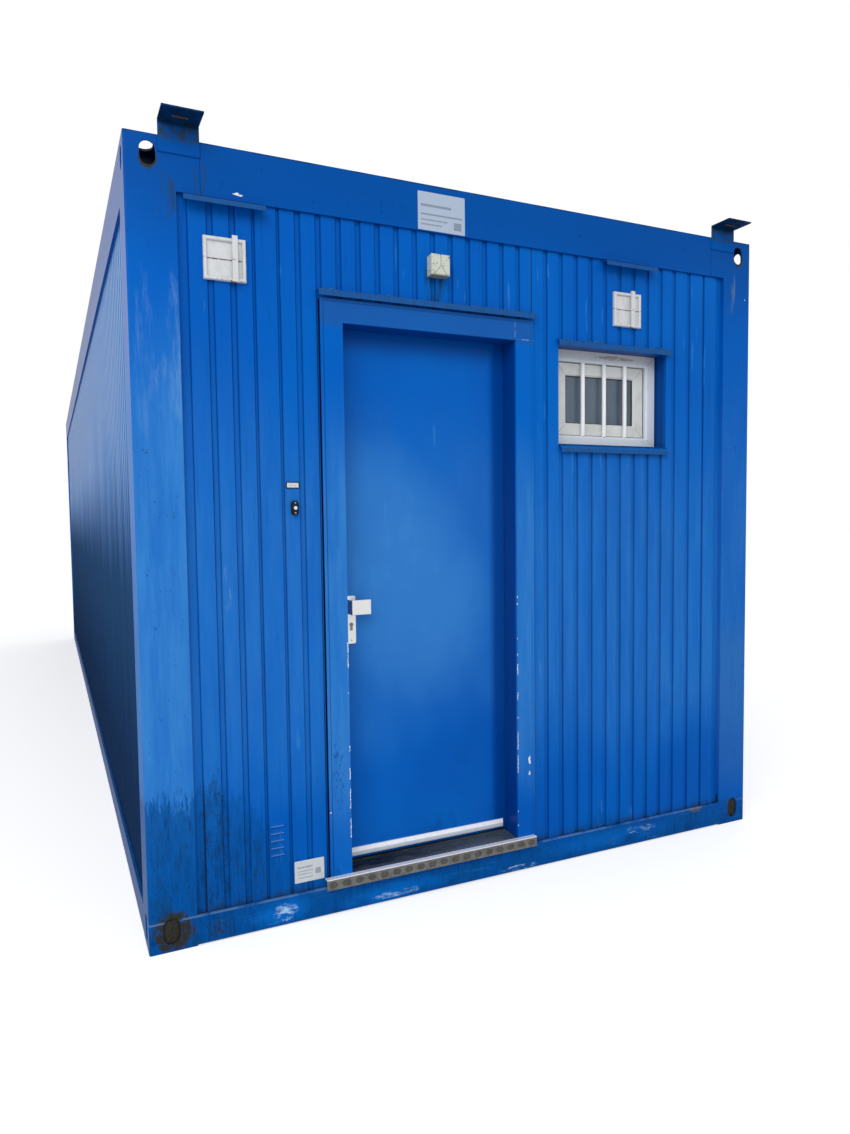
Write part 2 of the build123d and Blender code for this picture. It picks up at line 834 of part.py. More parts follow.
# Vents, junction box and bell
def vent_frames():
    half = vent_side / 2
    y0 = wall_outer - vent_frame_depth
    frames = []
    for x in vent_places:
        frame = picture_frame(
            x - half, x + half, vent_height - half, vent_height + half, vent_frame_face, y0, wall_outer
        )
        frames.append(chamfer(frame.faces().sort_by(Axis.Y)[0].edges(), vent_frame_chamfer))
    return Compound(children=frames)


def vent_blades():
    """Two flat shutters in each vent, one above the other."""
    y0 = wall_outer - vent_blade_thickness
    reach = vent_side / 2 - vent_frame_face - vent_blade_clearance
    gap = vent_blade_gap / 2
    blades = []
    for x in vent_places:
        for low, high in ((-reach, -gap), (gap, reach)):
            blades.append(block(x - reach, x + reach, y0, wall_outer, vent_height + low, vent_height + high))
    return Compound(children=blades)


def vent_link_bars():
    y1 = wall_outer - vent_frame_depth
    z0 = vent_height - vent_side / 2 - vent_link_foot
    z1 = vent_height + vent_side / 2 + vent_link_overhang
    bars = []
    for place, offset in zip(vent_places, vent_link_offsets):
        x = place + offset
        bars.append(block(x - vent_link_width / 2, x + vent_link_width / 2, y1 - vent_link_depth, y1, z0, z1))
    return Compound(children=bars)


def junction_box():
    """A box and its lid, which is a little larger all round and has bevelled edges."""
    x, z = door_frame_centre + junction_offset, roof_end_beam_bottom - junction_drop
    half_x, half_z, lip = junction_width / 2, junction_height / 2, junction_lid_lip
    far = wall_outer - junction_depth
    seam = far + junction_lid
    body = block(x - half_x + lip, x + half_x - lip, seam, wall_outer, z - half_z + lip, z + half_z - lip)
    lid = block(x - half_x, x + half_x, far, seam, z - half_z, z + half_z)
    return body + chamfer(lid.faces().sort_by(Axis.Y)[0].edges(), junction_chamfer)


def bell_housing():
    face = wall_outer - bell_depth
    housing = block(
        bell_x - bell_width / 2, bell_x + bell_width / 2, face, wall_outer,
        bell_height - bell_length / 2, bell_height + bell_length / 2,
    )
    housing = chamfer(housing.edges().filter_by(Axis.Y), bell_corner)
    housing = chamfer(housing.faces().sort_by(Axis.Y)[0].edges(), bell_chamfer)
    well = Pos(bell_x, face + bell_well_depth / 2, bell_height) * Rot(90, 0, 0) * Cylinder(
        bell_button_radius + bell_button_gap, bell_well_depth
    )
    return housing - well


def bell_button():
    back = wall_outer - bell_depth + bell_button_seat
    face = wall_outer - bell_depth - bell_button_proud
    button = Pos(bell_x, (back + face) / 2, bell_height) * Rot(90, 0, 0) * Cylinder(
        bell_button_radius, back - face
    )
    return chamfer(button.edges().sort_by(Axis.Y)[0], bell_button_chamfer)


# Angle brackets on the top corners, front and rear
def roof_brackets():
    x0 = left + bracket_edge
    x1 = x0 + bracket_width
    low, high, t = height - bracket_drop, height + bracket_rise, bracket_thickness
    points = [
        (front, low), (front, high), (front - bracket_reach, high), (front - bracket_reach, high - t),
        (front - t, high - t), (front - t, low),
    ]
    bracket = along_x(points, x0, x1)
    middle, slot_y = (x0 + x1) / 2, front - bracket_slot_reach
    slot = extrude(SlotOverall(bracket_slot_length, bracket_slot_width), amount=3 * t)
    bracket -= Pos(middle, slot_y, high - 2 * t) * slot
    return Compound(children=list(on_four_corners(bracket).values()))


nodes = {}
for place, piece in on_four_corners(top_fitting()).items():
    nodes["top_fitting_" + place] = piece
for place, piece in on_four_corners(bottom_fitting()).items():
    nodes["bottom_fitting_" + place] = piece
nodes["corner_posts"] = Compound(children=list(on_four_corners(corner_post()).values()))
nodes["base_beams"] = base_beams()
nodes["roof_beams"] = roof_beams()
nodes["floor_joists"] = joists(base_clearance + beam_wall + underside_sheet, base_beam_top - beam_wall)
nodes["floor_underside"] = floor_underside()
nodes["floor_deck"] = floor_deck()
nodes["ceiling_panel"] = ceiling_panel()
nodes["roof_joists"] = joists(ceiling_top, ceiling_top + roof_joist_height)
nodes["roof_sheet"] = roof_sheet()
nodes.update(front_wall_pieces())
nodes["rear_wall"] = rear_wall()
nodes["left_wall"] = side_wall()
nodes["right_wall"] = mirrored_x(side_wall())
nodes["door_frame"] = door_frame()
nodes["door_sill"] = door_sill()
nodes["door_step"] = door_step()
nodes["door_leaf"] = door_leaf()
nodes["weather_bar"] = weather_bar()
nodes["hinge_pins"] = hinge_pins()
nodes["hinge_leaves"] = hinge_leaves()
nodes["outer_lock_plate"] = outer_lock_plate()
nodes["door_knob"] = door_knob()
nodes["inner_lock_plate"] = inner_lock_plate()
nodes["inner_lever"] = inner_lever()
nodes["window_frame"] = window_frame()
nodes["window_sash"] = window_sash()
nodes["window_glass"] = window_glass()
nodes["window_bars"] = window_bars()
nodes["window_sill"] = window_sill()
nodes["rain_hoods"] = rain_hoods()
nodes["vent_frames"] = vent_frames()
nodes["vent_blades"] = vent_blades()
nodes["vent_link_bars"] = vent_link_bars()
nodes["junction_box"] = junction_box()
nodes["bell_housing"] = bell_housing()
nodes["bell_button"] = bell_button()
nodes["roof_brackets"] = roof_brackets()

for name, shape in nodes.items():
    export_step(shape, f"parts/{name}.step")
print(len(nodes), "nodes")
print("hinge axis", hinge_x, hinge_y)
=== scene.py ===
# %% [markdown]
# A container home, dressed for its portrait. The steel frame, panels, door, window and fittings were modelled
# as solids and packed with their hinges. Here they are only loaded, given their paint, rust and dirt, and
# joined by the small things that no solid carries: plates, screws, weld beads, gaskets and paint chips.
# Everything is in metres, in the same frame as the solids: X to the right along the door end, Y to the rear
# and Z up from the ground.

import bmesh
import bpy
import numpy as np
from math import cos, pi, radians, sin
from mathutils import Matrix, Vector


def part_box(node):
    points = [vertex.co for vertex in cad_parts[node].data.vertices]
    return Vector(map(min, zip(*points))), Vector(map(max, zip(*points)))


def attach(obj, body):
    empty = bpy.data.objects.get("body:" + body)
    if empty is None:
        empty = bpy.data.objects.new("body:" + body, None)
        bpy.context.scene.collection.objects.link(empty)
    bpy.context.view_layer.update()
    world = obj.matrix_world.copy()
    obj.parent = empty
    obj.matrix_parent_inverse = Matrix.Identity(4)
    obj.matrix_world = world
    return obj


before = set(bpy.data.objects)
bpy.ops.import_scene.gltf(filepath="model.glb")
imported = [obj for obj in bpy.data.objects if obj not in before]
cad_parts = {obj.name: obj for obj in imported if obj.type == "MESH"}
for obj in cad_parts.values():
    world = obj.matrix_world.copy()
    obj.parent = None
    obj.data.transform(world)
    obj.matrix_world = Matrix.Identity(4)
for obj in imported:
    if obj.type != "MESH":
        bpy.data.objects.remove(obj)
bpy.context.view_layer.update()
scene = bpy.context.scene

# %% [markdown]
# Every place on the front is read from the solids, so a new piece lands where its carrier is. The front has
# four planes that matter: the steel frame's face, the panels' outer face 12 mm behind it, the face of the
# door's own frame, and the leaf deep inside it. Nearly every new piece is seated on one of the four.

# %% Planes and edges of the front
rail_low, rail_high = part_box("base_beams")
roof_low, roof_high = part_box("roof_beams")
door_low, door_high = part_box("door_frame")
leaf_low, leaf_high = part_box("door_leaf")
window_low, window_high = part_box("window_frame")
frame_face, door_face, leaf_face = rail_low.y, door_low.y, leaf_low.y
panel_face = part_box("front_wall_right")[0].y
left_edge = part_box("corner_posts")[0].x
print("faces at y:", round(frame_face, 4), round(panel_face, 4), round(door_face, 4), round(leaf_face, 4))


# %% [markdown]
# A weathered surface is arithmetic: how high a point is, how near a seam, how noisy the dirt. Typing that
# arithmetic node by node hides it, so one small class wraps a socket and lets Python's own operators add
# the Math nodes. A line such as `1 - height.ramp(0.2, 0.6)` then reads like the thought behind it.

# %% Shader values as Python expressions
class Shade:
    """A number, colour or vector that varies over a surface, held as one output socket."""

    def __init__(self, finish, socket):
        self.finish = finish
        self.socket = socket

    def math(self, operation, first, second=0.0):
        return self.finish.node("ShaderNodeMath", {"operation": operation}, {0: first, 1: second})

    def __add__(self, other):
        return self.math("ADD", self, other)

    __radd__ = __add__

    def __sub__(self, other):
        return self.math("SUBTRACT", self, other)

    def __rsub__(self, other):
        return self.math("SUBTRACT", other, self)

    def __mul__(self, other):
        return self.math("MULTIPLY", self, other)

    __rmul__ = __mul__

    def __truediv__(self, other):
        return self.math("DIVIDE", self, other)

    def __abs__(self):
        return self.math("ABSOLUTE", self)

    def __or__(self, other):
        """The larger of two masks, where either may show."""
        return self.math("MAXIMUM", self, other)

    def ramp(self, low, high):
        """0 at low, 1 at high, and a smooth step between. A low above high falls instead of rising."""
        settings = {"interpolation_type": "SMOOTHSTEP"}
        sockets = {"Value": self, "From Min": low, "From Max": high}
        return self.finish.node("ShaderNodeMapRange", settings, sockets)

    def band(self, low, high, soft):
        """1 between low and high, fading to 0 over soft on both sides."""
        return self.ramp(low - soft, low) * self.ramp(high + soft, high)


# %% [markdown]
# A finish is one material being built. It opens with the object coordinates, which are the row's own metres
# because every piece keeps its place in its mesh. Noise stretched upwards gives streaks, even noise gives
# blotches, and a threshold on fine noise gives specks. Colours are laid on in coats, as a painter would, each
# through its own mask. The constants, such as how strongly the paint mirrors, stay on the shader's own
# sockets.

# %% One material under construction
def linear(red, green, blue):
    """A colour picked as 0 to 255 screen values, as the linear light that shaders use."""
    screen = np.array([red, green, blue]) / 255
    light = np.where(screen <= 0.04045, screen / 12.92, ((screen + 0.055) / 1.055) ** 2.4)
    return (*(float(part) for part in light), 1.0)


class Finish:
    """A material whose colour, roughness and relief are written as expressions."""

    def __init__(self, name, **constants):
        self.material = bpy.data.materials.new(name)
        self.material.use_nodes = True
        self.tree = self.material.node_tree
        self.shader = self.tree.nodes["Principled BSDF"]
        for socket, value in constants.items():
            self.shader.inputs[socket.replace("_", " ")].default_value = value
        self.place = self.node("ShaderNodeTexCoord", output="Object")
        split = self.node("ShaderNodeSeparateXYZ", {}, {0: self.place})
        self.x, self.y, self.z = (Shade(self, socket) for socket in split.socket.node.outputs)

    def node(self, kind, settings=None, sockets=None, output=0):
        """Adds a node, sets its settings, then fills or links its sockets, and returns one output."""
        made = self.tree.nodes.new(kind)
        for setting, value in (settings or {}).items():
            setattr(made, setting, value)
        for socket, value in (sockets or {}).items():
            if isinstance(value, Shade):
                self.tree.links.new(value.socket, made.inputs[socket])
            else:
                made.inputs[socket].default_value = value
        return Shade(self, made.outputs[output])

    def noise(self, scale, detail=3.0, roughness=0.55, stretch=(1, 1, 1), shift=0.0):
        """Clouds of about 1/scale metres. stretch multiplies the scale along each axis."""
        sockets = {"Vector": self.place, "Scale": stretch, "Location": (shift, shift, shift)}
        moved = self.node("ShaderNodeMapping", {}, sockets)
        sockets = {"Vector": moved, "Scale": scale, "Detail": detail, "Roughness": roughness}
        return self.node("ShaderNodeTexNoise", {"noise_dimensions": "3D"}, sockets)

    def specks(self, scale, share, stretch=(1, 1, 1), shift=0.0):
        """Scattered ragged dots: the noise above a threshold that leaves about that share of the surface."""
        edge = 0.5 + 0.22 * (1 - 2 * share)
        return self.noise(scale, 2.0, 0.5, stretch, shift).ramp(edge, edge + 0.05)

    def mix(self, mask, under, over):
        """Lays one colour over another where the mask is 1. A plain colour is a screen value."""
        under, over = (part if isinstance(part, Shade) else linear(*part) for part in (under, over))
        settings = {"data_type": "RGBA", "blend_type": "MIX", "clamp_factor": True}
        return self.node("ShaderNodeMix", settings, {0: mask, 6: under, 7: over}, output=2)

    def coat(self, mask, over):
        """Lays one more colour over the finish's own where the mask is 1."""
        self.colour = self.mix(mask, self.colour, over)

    def relief(self, height, depth):
        """Feeds a height between 0 and 1 into the normal, as a relief of that depth in metres."""
        bump = self.node("ShaderNodeBump", {}, {"Strength": 1.0, "Distance": depth, "Height": height})
        self.feed(Normal=bump)

    def feed(self, **sockets):
        """Links varying values to the shader's sockets, or sets constants there."""
        for socket, value in sockets.items():
            target = self.shader.inputs[socket.replace("_", " ")]
            if isinstance(value, Shade):
                self.tree.links.new(value.socket, target)
            else:
                target.default_value = value
        return self

    def done(self, roughness=None):
        """Feeds the finish's colour, and a roughness where one is given, and returns the finish."""
        if roughness is not None:
            self.feed(Roughness=roughness)
        return self.feed(Base_Color=self.colour)


def paint_nodes(finish, *names):
    """Gives CAD nodes a finish, on every slot that they have."""
    for name in names:
        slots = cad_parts[name].data.materials
        slots.clear()
        slots.append(finish.material)
    print(finish.material.name, "on", ", ".join(names))


# %% [markdown]
# The blue enamel is the whole character of this cabin. It is a strong, slightly greenish blue that turns
# milky where years of wiping and rain have scuffed it, mostly in upright strokes and between knee and head
# height. All painted steel shares these words, and each part adds its own.

# %% Words that all the blue paint shares
deep_blue = (0, 87, 180)
fresh_blue = (0, 99, 192)
milky_blue = (62, 136, 208)
rail_blue = (0, 72, 150)
foot_rail_blue = (0, 82, 164)
night_blue = (0, 36, 88)
# The next blue is painted shade, for faces that see little sky: the door's reveal and the leaf beside it.
painted_shade_blue = (0, 52, 130)
damp_blue = (0, 78, 148)
algae = (20, 54, 66)
soaked = (40, 60, 70)
grime_and_shade_dark = (26, 32, 40)
scrape = (176, 214, 240)
faint_line = (120, 160, 208)


def blue_paint(name, faded=(0.5, 0.9, 1.6, 2.2), fade=0.6, brushed=0.5, grain=0.12, specular=0.045):
    """Starts a finish in scuffed blue and returns it with its veil.

    faded holds four heights: the milky veil rises between the first two and ends between the last two.
    brushed is the share of the veil that breaks into strokes, and a smaller grain makes those longer.
    """
    finish = Finish(name, Specular_IOR_Level=specular)
    low, full_low, full_high, high = faded
    blotches = finish.noise(1.3, 3.0, 0.6, (1, 1, 0.6))
    strokes = finish.noise(18.0, 4.0, 0.65, (1, 1, grain), 3.7)
    height = finish.z + (blotches - 0.5) * 1.1
    veil = height.ramp(low, full_low) * height.ramp(high, full_high)
    veil = veil * (strokes.ramp(0.3, 0.72) * brushed + (1 - brushed))
    finish.colour = finish.mix(blotches.ramp(0.3, 0.7), deep_blue, fresh_blue)
    finish.coat(veil * fade, milky_blue)
    scratches = finish.specks(30.0, 0.02, (1, 1, grain), 4.4)
    finish.coat(scratches * 0.35, milky_blue)
    return finish, veil


# %% [markdown]
# Near the ground the paint is damp and dark. The damp has climbed in fingers to knee height at the left edge,
# where a gutter must drip, and stays low elsewhere. Algae and splashes sit inside it. The fingers are noise
# drawn out upwards and added to the height before it is compared with the tide line.

# %% Damp and dirt near the ground
def damp_foot(finish, strength=0.8, tide=0.57, dry_tide=0.16):
    """Darkens the paint below a ragged tide line, which stands high at the left edge and low elsewhere."""
    drip = finish.noise(95.0, 5.0, 0.8, (1, 1, 0.16), 1.3) - 0.5
    wander = finish.noise(4.0, 2.0, 0.5, (1, 1, 0.3), 6.1) - 0.5
    dry = finish.x.ramp(left_edge + 0.3, left_edge + 0.75)
    level = finish.z + drip * 0.42 + wander * 0.25 + dry * (tide - dry_tide)
    finish.coat(level.ramp(tide, tide - 0.05) * strength, damp_blue)
    wet = level.ramp(tide, tide - 0.06)
    rinsed = finish.noise(50.0, 4.0, 0.75, (1, 1, 0.1), 9.7).ramp(0.48, 0.7) * wet
    finish.coat(rinsed * strength * 0.55, fresh_blue)
    growth = finish.noise(16.0, 5.0, 0.75, (1, 1, 0.35), 8.8).ramp(0.46, 0.7) * level.ramp(tide, tide - 0.4)
    finish.coat(growth * strength * 0.75, algae)
    streaks = finish.noise(90.0, 4.0, 0.75, (1, 1, 0.12), 4.2).ramp(0.5, 0.7) * wet
    finish.coat(streaks * strength * 0.6, night_blue)
    splash = finish.specks(150.0, 0.12, (1, 1, 0.5), 2.2) * level.ramp(tide + 0.2, tide - 0.35)
    finish.coat(splash * 0.6, grime_and_shade_dark)


def spot(finish, x, z, half_x, half_z, eaten=1.2, core=0.5):
    """1 inside an ellipse on the front, with an edge that noise eats into and that softens to its core."""
    across = (finish.x - x) / half_x
    rise = (finish.z - z) / half_z
    ragged = finish.noise(60.0, 3.0, 0.65, (1, 1, 0.4), 9.0)
    return (across * across + rise * rise + (ragged - 0.5) * eaten).ramp(1.0, core)


def spots(finish, marks, eaten=1.2, core=0.5):
    """The larger of several spots. A mark is x from the left edge, z, two half sizes and a strength."""
    whole = 0.0
    for x, z, half_x, half_z, strength in marks:
        whole = (spot(finish, left_edge + x, z, half_x, half_z, eaten, core) * strength) | whole
    return whole


def wisps(finish):
    """Torn upright strokes, as a dry cloth leaves them."""
    return finish.noise(48.0, 5.0, 0.75, (1, 1, 0.12), 2.9).ramp(0.42, 0.72)


# %% [markdown]
# The wall sheets are pressed into grooves that hold a shadow and years of dust. The grooves are real solids,
# so the light already shapes them. The finish adds painted shade on top: it darkens the grooves, and more so
# along each flank, found as the depth of a point behind the outer face. One function serves all four walls,
# because only the axis and the side of that depth change. Behind the sheets lies the pale inner lining, which
# shows only when the door stands open.

# %% Panel paint for any wall
groove_depth = 0.008
wall_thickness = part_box("left_wall")[1].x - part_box("left_wall")[0].x
lining_white = (222, 220, 212)


def wall_paint(name, axis, face, inwards, damp=0.45, **words):
    """Blue wall sheet. A point's depth behind the face, along one axis, darkens the grooves as painted shade.

    It returns the finish and a mask of the lining on the wall's inner face.
    """
    finish, veil = blue_paint(name, faded=(0.3, 1.0, 1.5, 2.3), fade=0.38, **words)
    across = {"x": finish.x, "y": finish.y}[axis]
    depth = (across - face) * (inwards / groove_depth)
    painted_flank_shade = depth.ramp(0.05, 0.3) * depth.ramp(0.99, 0.85)
    # Painted shade: the grooves darken with their depth, and their flanks more so.
    finish.coat(depth.ramp(0.1, 0.9) * 0.08, night_blue)
    finish.coat(painted_flank_shade * 0.5, night_blue)
    damp_foot(finish, damp)
    run = finish.noise(75.0, 4.0, 0.7, (1, 1, 0.03), 7.3).ramp(0.52, 0.78)
    finish.coat(run * 0.22, night_blue)
    soil = finish.z.ramp(0.155, 0.122) * finish.noise(26.0, 3.0, 0.6, shift=4.0).ramp(0.35, 0.65)
    finish.coat(soil * 0.6, (34, 50, 56))
    lining = depth.ramp((wall_thickness - 0.006) / groove_depth, (wall_thickness - 0.004) / groove_depth)
    finish.coat(lining, lining_white)
    finish.feed(Roughness=0.3 + veil * 0.15)
    return finish, lining


# %% [markdown]
# The front gets marks of its own, each where the photograph shows it. Rain carries green from under the
# junction box down to the hood. Mud has splashed beside the left post, and the joint there is black low
# down. Where something was wiped off, the paint is pale. A mark is an ellipse broken up by finer noise.

# %% Front panels
front, lining = wall_paint("front_panel_paint", "y", panel_face, 1)
box_low, box_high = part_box("junction_box")
box_middle = (box_low + box_high) / 2
streaky = front.noise(70.0, 3.0, 0.65, (1, 1, 0.08), 9.0).ramp(0.4, 0.62)
run_off = spot(front, box_middle.x - 0.01, box_low.z - 0.04, 0.05, 0.13)
front.coat(run_off * streaky * 0.8, algae)
muddy = spots(front, [(0.255, 0.36, 0.07, 0.34, 1.0), (0.37, 0.27, 0.09, 0.2, 0.7)])
wash = front.noise(65.0, 4.0, 0.7, (1, 1, 0.16), 5.0).ramp(0.42, 0.66)
front.coat(muddy * wash * 0.6, (6, 50, 92))
crumbs = front.noise(150.0, 4.0, 0.7, (1, 1, 0.5), 5.0).ramp(0.56, 0.64)
front.coat(muddy * crumbs * 0.85, (36, 44, 48))
joint = front.x.band(left_edge + 0.2135, left_edge + 0.2165, 0.0015) * front.z.ramp(0.7, 0.5)
frame_edge = front.x.band(door_high.x, door_high.x + 0.004, 0.0015)
frame_edge = frame_edge | (front.x.band(-left_edge - 0.2165, -left_edge - 0.2135, 0.0015) * 0.7)
front.coat((joint | frame_edge) * 0.8, grime_and_shade_dark)
beside = front.x.band(door_high.x, door_high.x + 0.012, 0.01) * front.z.band(0.2, 1.1, 0.3)
front.coat(beside * wash * 0.6, (54, 74, 88))
wiped = spots(front, [(0.319, 1.40, 0.012, 0.04, 1.0), (0.325, 1.31, 0.014, 0.06, 1.0)], 2.0)
front.coat(wiped * wisps(front) * 0.8, faint_line)
# Painted highlight: a pale line on the proud lips of the pressed louvres.
painted_louvre_highlight = front.y.ramp(panel_face - 0.0045, panel_face - 0.0065)
front.coat(painted_louvre_highlight * 0.5, faint_line)
# Painted shade: the sheet's cut edges round the openings are darkened, more so beside the window frame.
painted_cut_shade = front.y.ramp(panel_face + 0.01, panel_face + 0.02) * (1 - lining)
beside_frame = front.y.ramp(window_low.y - 0.03, window_low.y - 0.002)
front.coat(painted_cut_shade * (0.55 + beside_frame * 0.4), (0, 40, 100))
front.relief(front.noise(420.0, 2.0), 0.00012)
front_panels = [
    "front_wall_left", "front_wall_over_door", "front_wall_middle", "front_wall_under_window",
    "front_wall_over_window", "front_wall_right",
]
paint_nodes(front.done(), *front_panels)

# %% [markdown]
# The long left wall is the dirtiest. Above eye height rain has rinsed it, and there a lighter blue is a
# painted reflection of the pale sky that its gloss shows at a flat angle. Below, it is covered in a matte
# film that is partly moss and road dirt and partly painted shade, darker towards the bottom. Two shaders are
# mixed by height, because a dull film can't be told with colour alone: at a flat angle any gloss outshines
# the colour.

# %% Side and rear panels
def dull_film_and_painted_light(finish, lining, top, bottom):
    """Mixes a second, matte shader of dirt and painted shade over the paint below a soft height, and paints a
    lighter reflection above.
    """
    streaks = finish.noise(6.0, 3.0, 0.6, (1, 1, 0.02), 5.5)
    height = finish.z + (streaks - 0.5) * 0.5
    # Dirt and painted shade: the matte film is darker towards the bottom.
    lighter_higher = height.ramp(bottom - 1.0, bottom + 0.2)
    film_and_shade_colour = finish.mix(lighter_higher, (14, 42, 76), (36, 70, 108))
    matte_film_and_shade = finish.node("ShaderNodeBsdfDiffuse", {}, {"Color": film_and_shade_colour})
    # Painted reflection: a lighter blue above the film, for the pale sky in the gloss.
    finish.coat(height.ramp(bottom, top) * (1 - lining) * 0.8, (16, 118, 190))
    glossy = Shade(finish, finish.done().shader.outputs[0])
    cover = height.ramp(top, bottom) * (1 - lining) * 0.92
    both = finish.node("ShaderNodeMixShader", {}, {0: cover, 1: glossy, 2: matte_film_and_shade})
    output = finish.tree.nodes["Material Output"]
    finish.tree.links.new(both.socket, output.inputs["Surface"])
    return finish


side_face = left_edge + 0.012
left, lining = wall_paint("left_panel_paint", "x", side_face, 1, grain=0.01, specular=0.1)
paint_nodes(dull_film_and_painted_light(left, lining, 2.0, 1.3), "left_wall")
for side, axis, face, grain in (("right", "x", -side_face, 0.01), ("rear", "y", -panel_face, 0.12)):
    other, lining = wall_paint(side + "_panel_paint", axis, face, -1, grain=grain)
    paint_nodes(other.done(), side + "_wall")

# %% [markdown]
# The steel frame wears a thicker, darker coat. Its left post is scuffed in upright strokes, more than the
# right one, and the rails have kept a deeper blue. The top edge has gone brown where water stands.

# %% Frame paint
beam, veil = blue_paint("frame_paint", faded=(0.2, 0.8, 1.8, 2.5), fade=0.8)
on_front = beam.y.ramp(frame_face + 0.3, frame_face + 0.2)
upper = beam.z.ramp(roof_low.z - 0.35, roof_low.z + 0.15)
lower = beam.z.ramp(rail_high.z + 0.03, rail_high.z - 0.01)
sheltered = beam.x.ramp(-0.5, 1.0) * 0.55
beam.coat(sheltered, deep_blue)
washed = beam.noise(26.0, 5.0, 0.7, (1, 1, 0.08), 21.0).ramp(0.45, 0.75)
beam.coat(washed * 0.3, deep_blue)
beam.coat(upper * 0.8, rail_blue)
beam.coat(lower * 0.8, foot_rail_blue)
wet = beam.noise(9.0, 3.0, 0.6, shift=2.0).ramp(0.35, 0.6)
top_edge = beam.z.ramp(roof_high.z - 0.008, roof_high.z - 0.001)
beam.coat(top_edge * wet * 0.8, grime_and_shade_dark)
damp_foot(beam, 0.75)
torn = wisps(beam)
pale = spots(beam, [
    (0.152, 2.38, 0.03, 0.14, 1.0), (0.17, 2.15, 0.035, 0.2, 1.0), (0.115, 2.1, 0.04, 0.12, 1.0),
    (0.05, 2.2, 0.04, 0.35, 0.6),
])
beam.coat(pale * torn * on_front * 0.38, faint_line)
pits = beam.noise(60.0, 3.0, 0.7, (1, 1, 0.5), 12.0).ramp(0.66, 0.7)
beam.coat(pits * on_front * 0.5, night_blue)

# %% [markdown]
# Marks on the frame's front are placed from its own edges. The rust round a lifting hole is a broken ring,
# and brown water has run from the bracket and from the right hole. The lower rail is scraped to the bright
# primer by whatever was rolled past the door, and mud is smeared round the foot of the left corner.

# %% Rust, scrapes and seams on the frame
hole_inset, hole_drop, ring_half_x, ring_half_z = 0.082, 0.067, 0.0275, 0.0425
hole_z = roof_high.z - hole_drop
broken = beam.noise(55.0, 4.0, 0.7, (1, 1, 0.6), 9.0)
for side in (-1, 1):
    across = (beam.x - side * (-left_edge - hole_inset)) / ring_half_x
    rise = (beam.z - hole_z) / ring_half_z
    ring = (across * across + rise * rise + (broken - 0.5) * 2.0).band(0.8, 1.5, 0.4)
    below = beam.z.ramp(hole_z + 0.01, hole_z - 0.04)
    beam.coat(ring * below * on_front, (54, 52, 38))
trickle = beam.noise(60.0, 3.0, 0.65, (1, 1, 0.05), 3.0).ramp(0.45, 0.65)
stain = spots(beam, [(0.262, 2.84, 0.025, 0.11, 1.0), (0.13, 2.76, 0.05, 0.1, 1.0)])
beam.coat(stain * trickle * on_front * 0.75, soaked)
slanted = beam.x - (beam.z - hole_z) * 0.22
run = slanted.band(-left_edge - 0.082, -left_edge - 0.062, 0.012) * beam.z.band(2.66, 2.84, 0.06)
beam.coat(run * trickle.ramp(0.0, 0.8) * on_front * 0.45, (112, 128, 142))
flecked = beam.noise(60.0, 5.0, 0.75, (0.35, 1, 1.2), 1.0).ramp(0.46, 0.64)
halo = spots(beam, [
    (0.50, 0.062, 0.15, 0.07, 1.0), (1.0, 0.04, 0.3, 0.05, 0.8), (2.1, 0.06, 0.45, 0.05, 0.6),
], 0.8, -0.3)
beam.coat(halo * on_front * 0.8, (0, 116, 214))
scraped = spots(beam, [
    (0.515, 0.056, 0.055, 0.038, 1.0), (1.0, 0.03, 0.11, 0.016, 0.8), (1.6, 0.018, 0.1, 0.014, 0.7),
    (2.3, 0.075, 0.1, 0.022, 0.6),
], 2.0)
beam.coat(scraped * flecked * on_front, scrape)
scuffed = beam.noise(30.0, 5.0, 0.75, (0.25, 1, 1.5), 6.0).ramp(0.55, 0.75) * lower * on_front
beam.coat(scuffed * 0.4, milky_blue)
dull = beam.noise(11.0, 3.0, 0.6, (0.5, 1, 1), 15.0).ramp(0.5, 0.75) * lower
beam.coat(dull * 0.5, night_blue)
sore = spot(beam, left_edge + 0.25, 0.05, 0.05, 0.035, 2.0)
sore = sore | (spot(beam, -left_edge - 0.3, 0.12, 0.05, 0.012, 1.6) * 0.7)
smeared = spot(beam, left_edge + 0.09, 0.075, 0.085, 0.085, 1.3)
beam.coat(sore * broken.ramp(0.45, 0.6) * on_front, (44, 46, 46))
beam.coat(smeared * broken.ramp(0.3, 0.5) * on_front, (50, 50, 45))
rusted = spot(beam, -left_edge - 0.33, 0.112, 0.05, 0.018, 1.6)
beam.coat(rusted * broken.ramp(0.4, 0.55) * on_front * 0.8, (104, 84, 64))
dusted = beam.x.ramp(1.15, 1.35) * beam.z.band(0.35, 0.9, 0.25) * on_front
beam.coat(dusted * 0.15, (84, 128, 156))
# Painted highlight: a pale line along the lower rail's top edge, broken up by noise.
highlight_breaks = beam.noise(8.0, 3.0, 0.6, shift=1.0).ramp(0.35, 0.6)
painted_edge_highlight = beam.z.band(rail_high.z - 0.006, rail_high.z, 0.002) * lower * on_front
beam.coat(painted_edge_highlight * highlight_breaks * 0.4, faint_line)
on_rail = beam.z.ramp(roof_low.z - 0.005, roof_low.z)
seam = abs(beam.x).band(-left_edge - 0.2635, -left_edge - 0.2605, 0.001) * on_rail * on_front
beam.coat(seam * 0.45, night_blue)
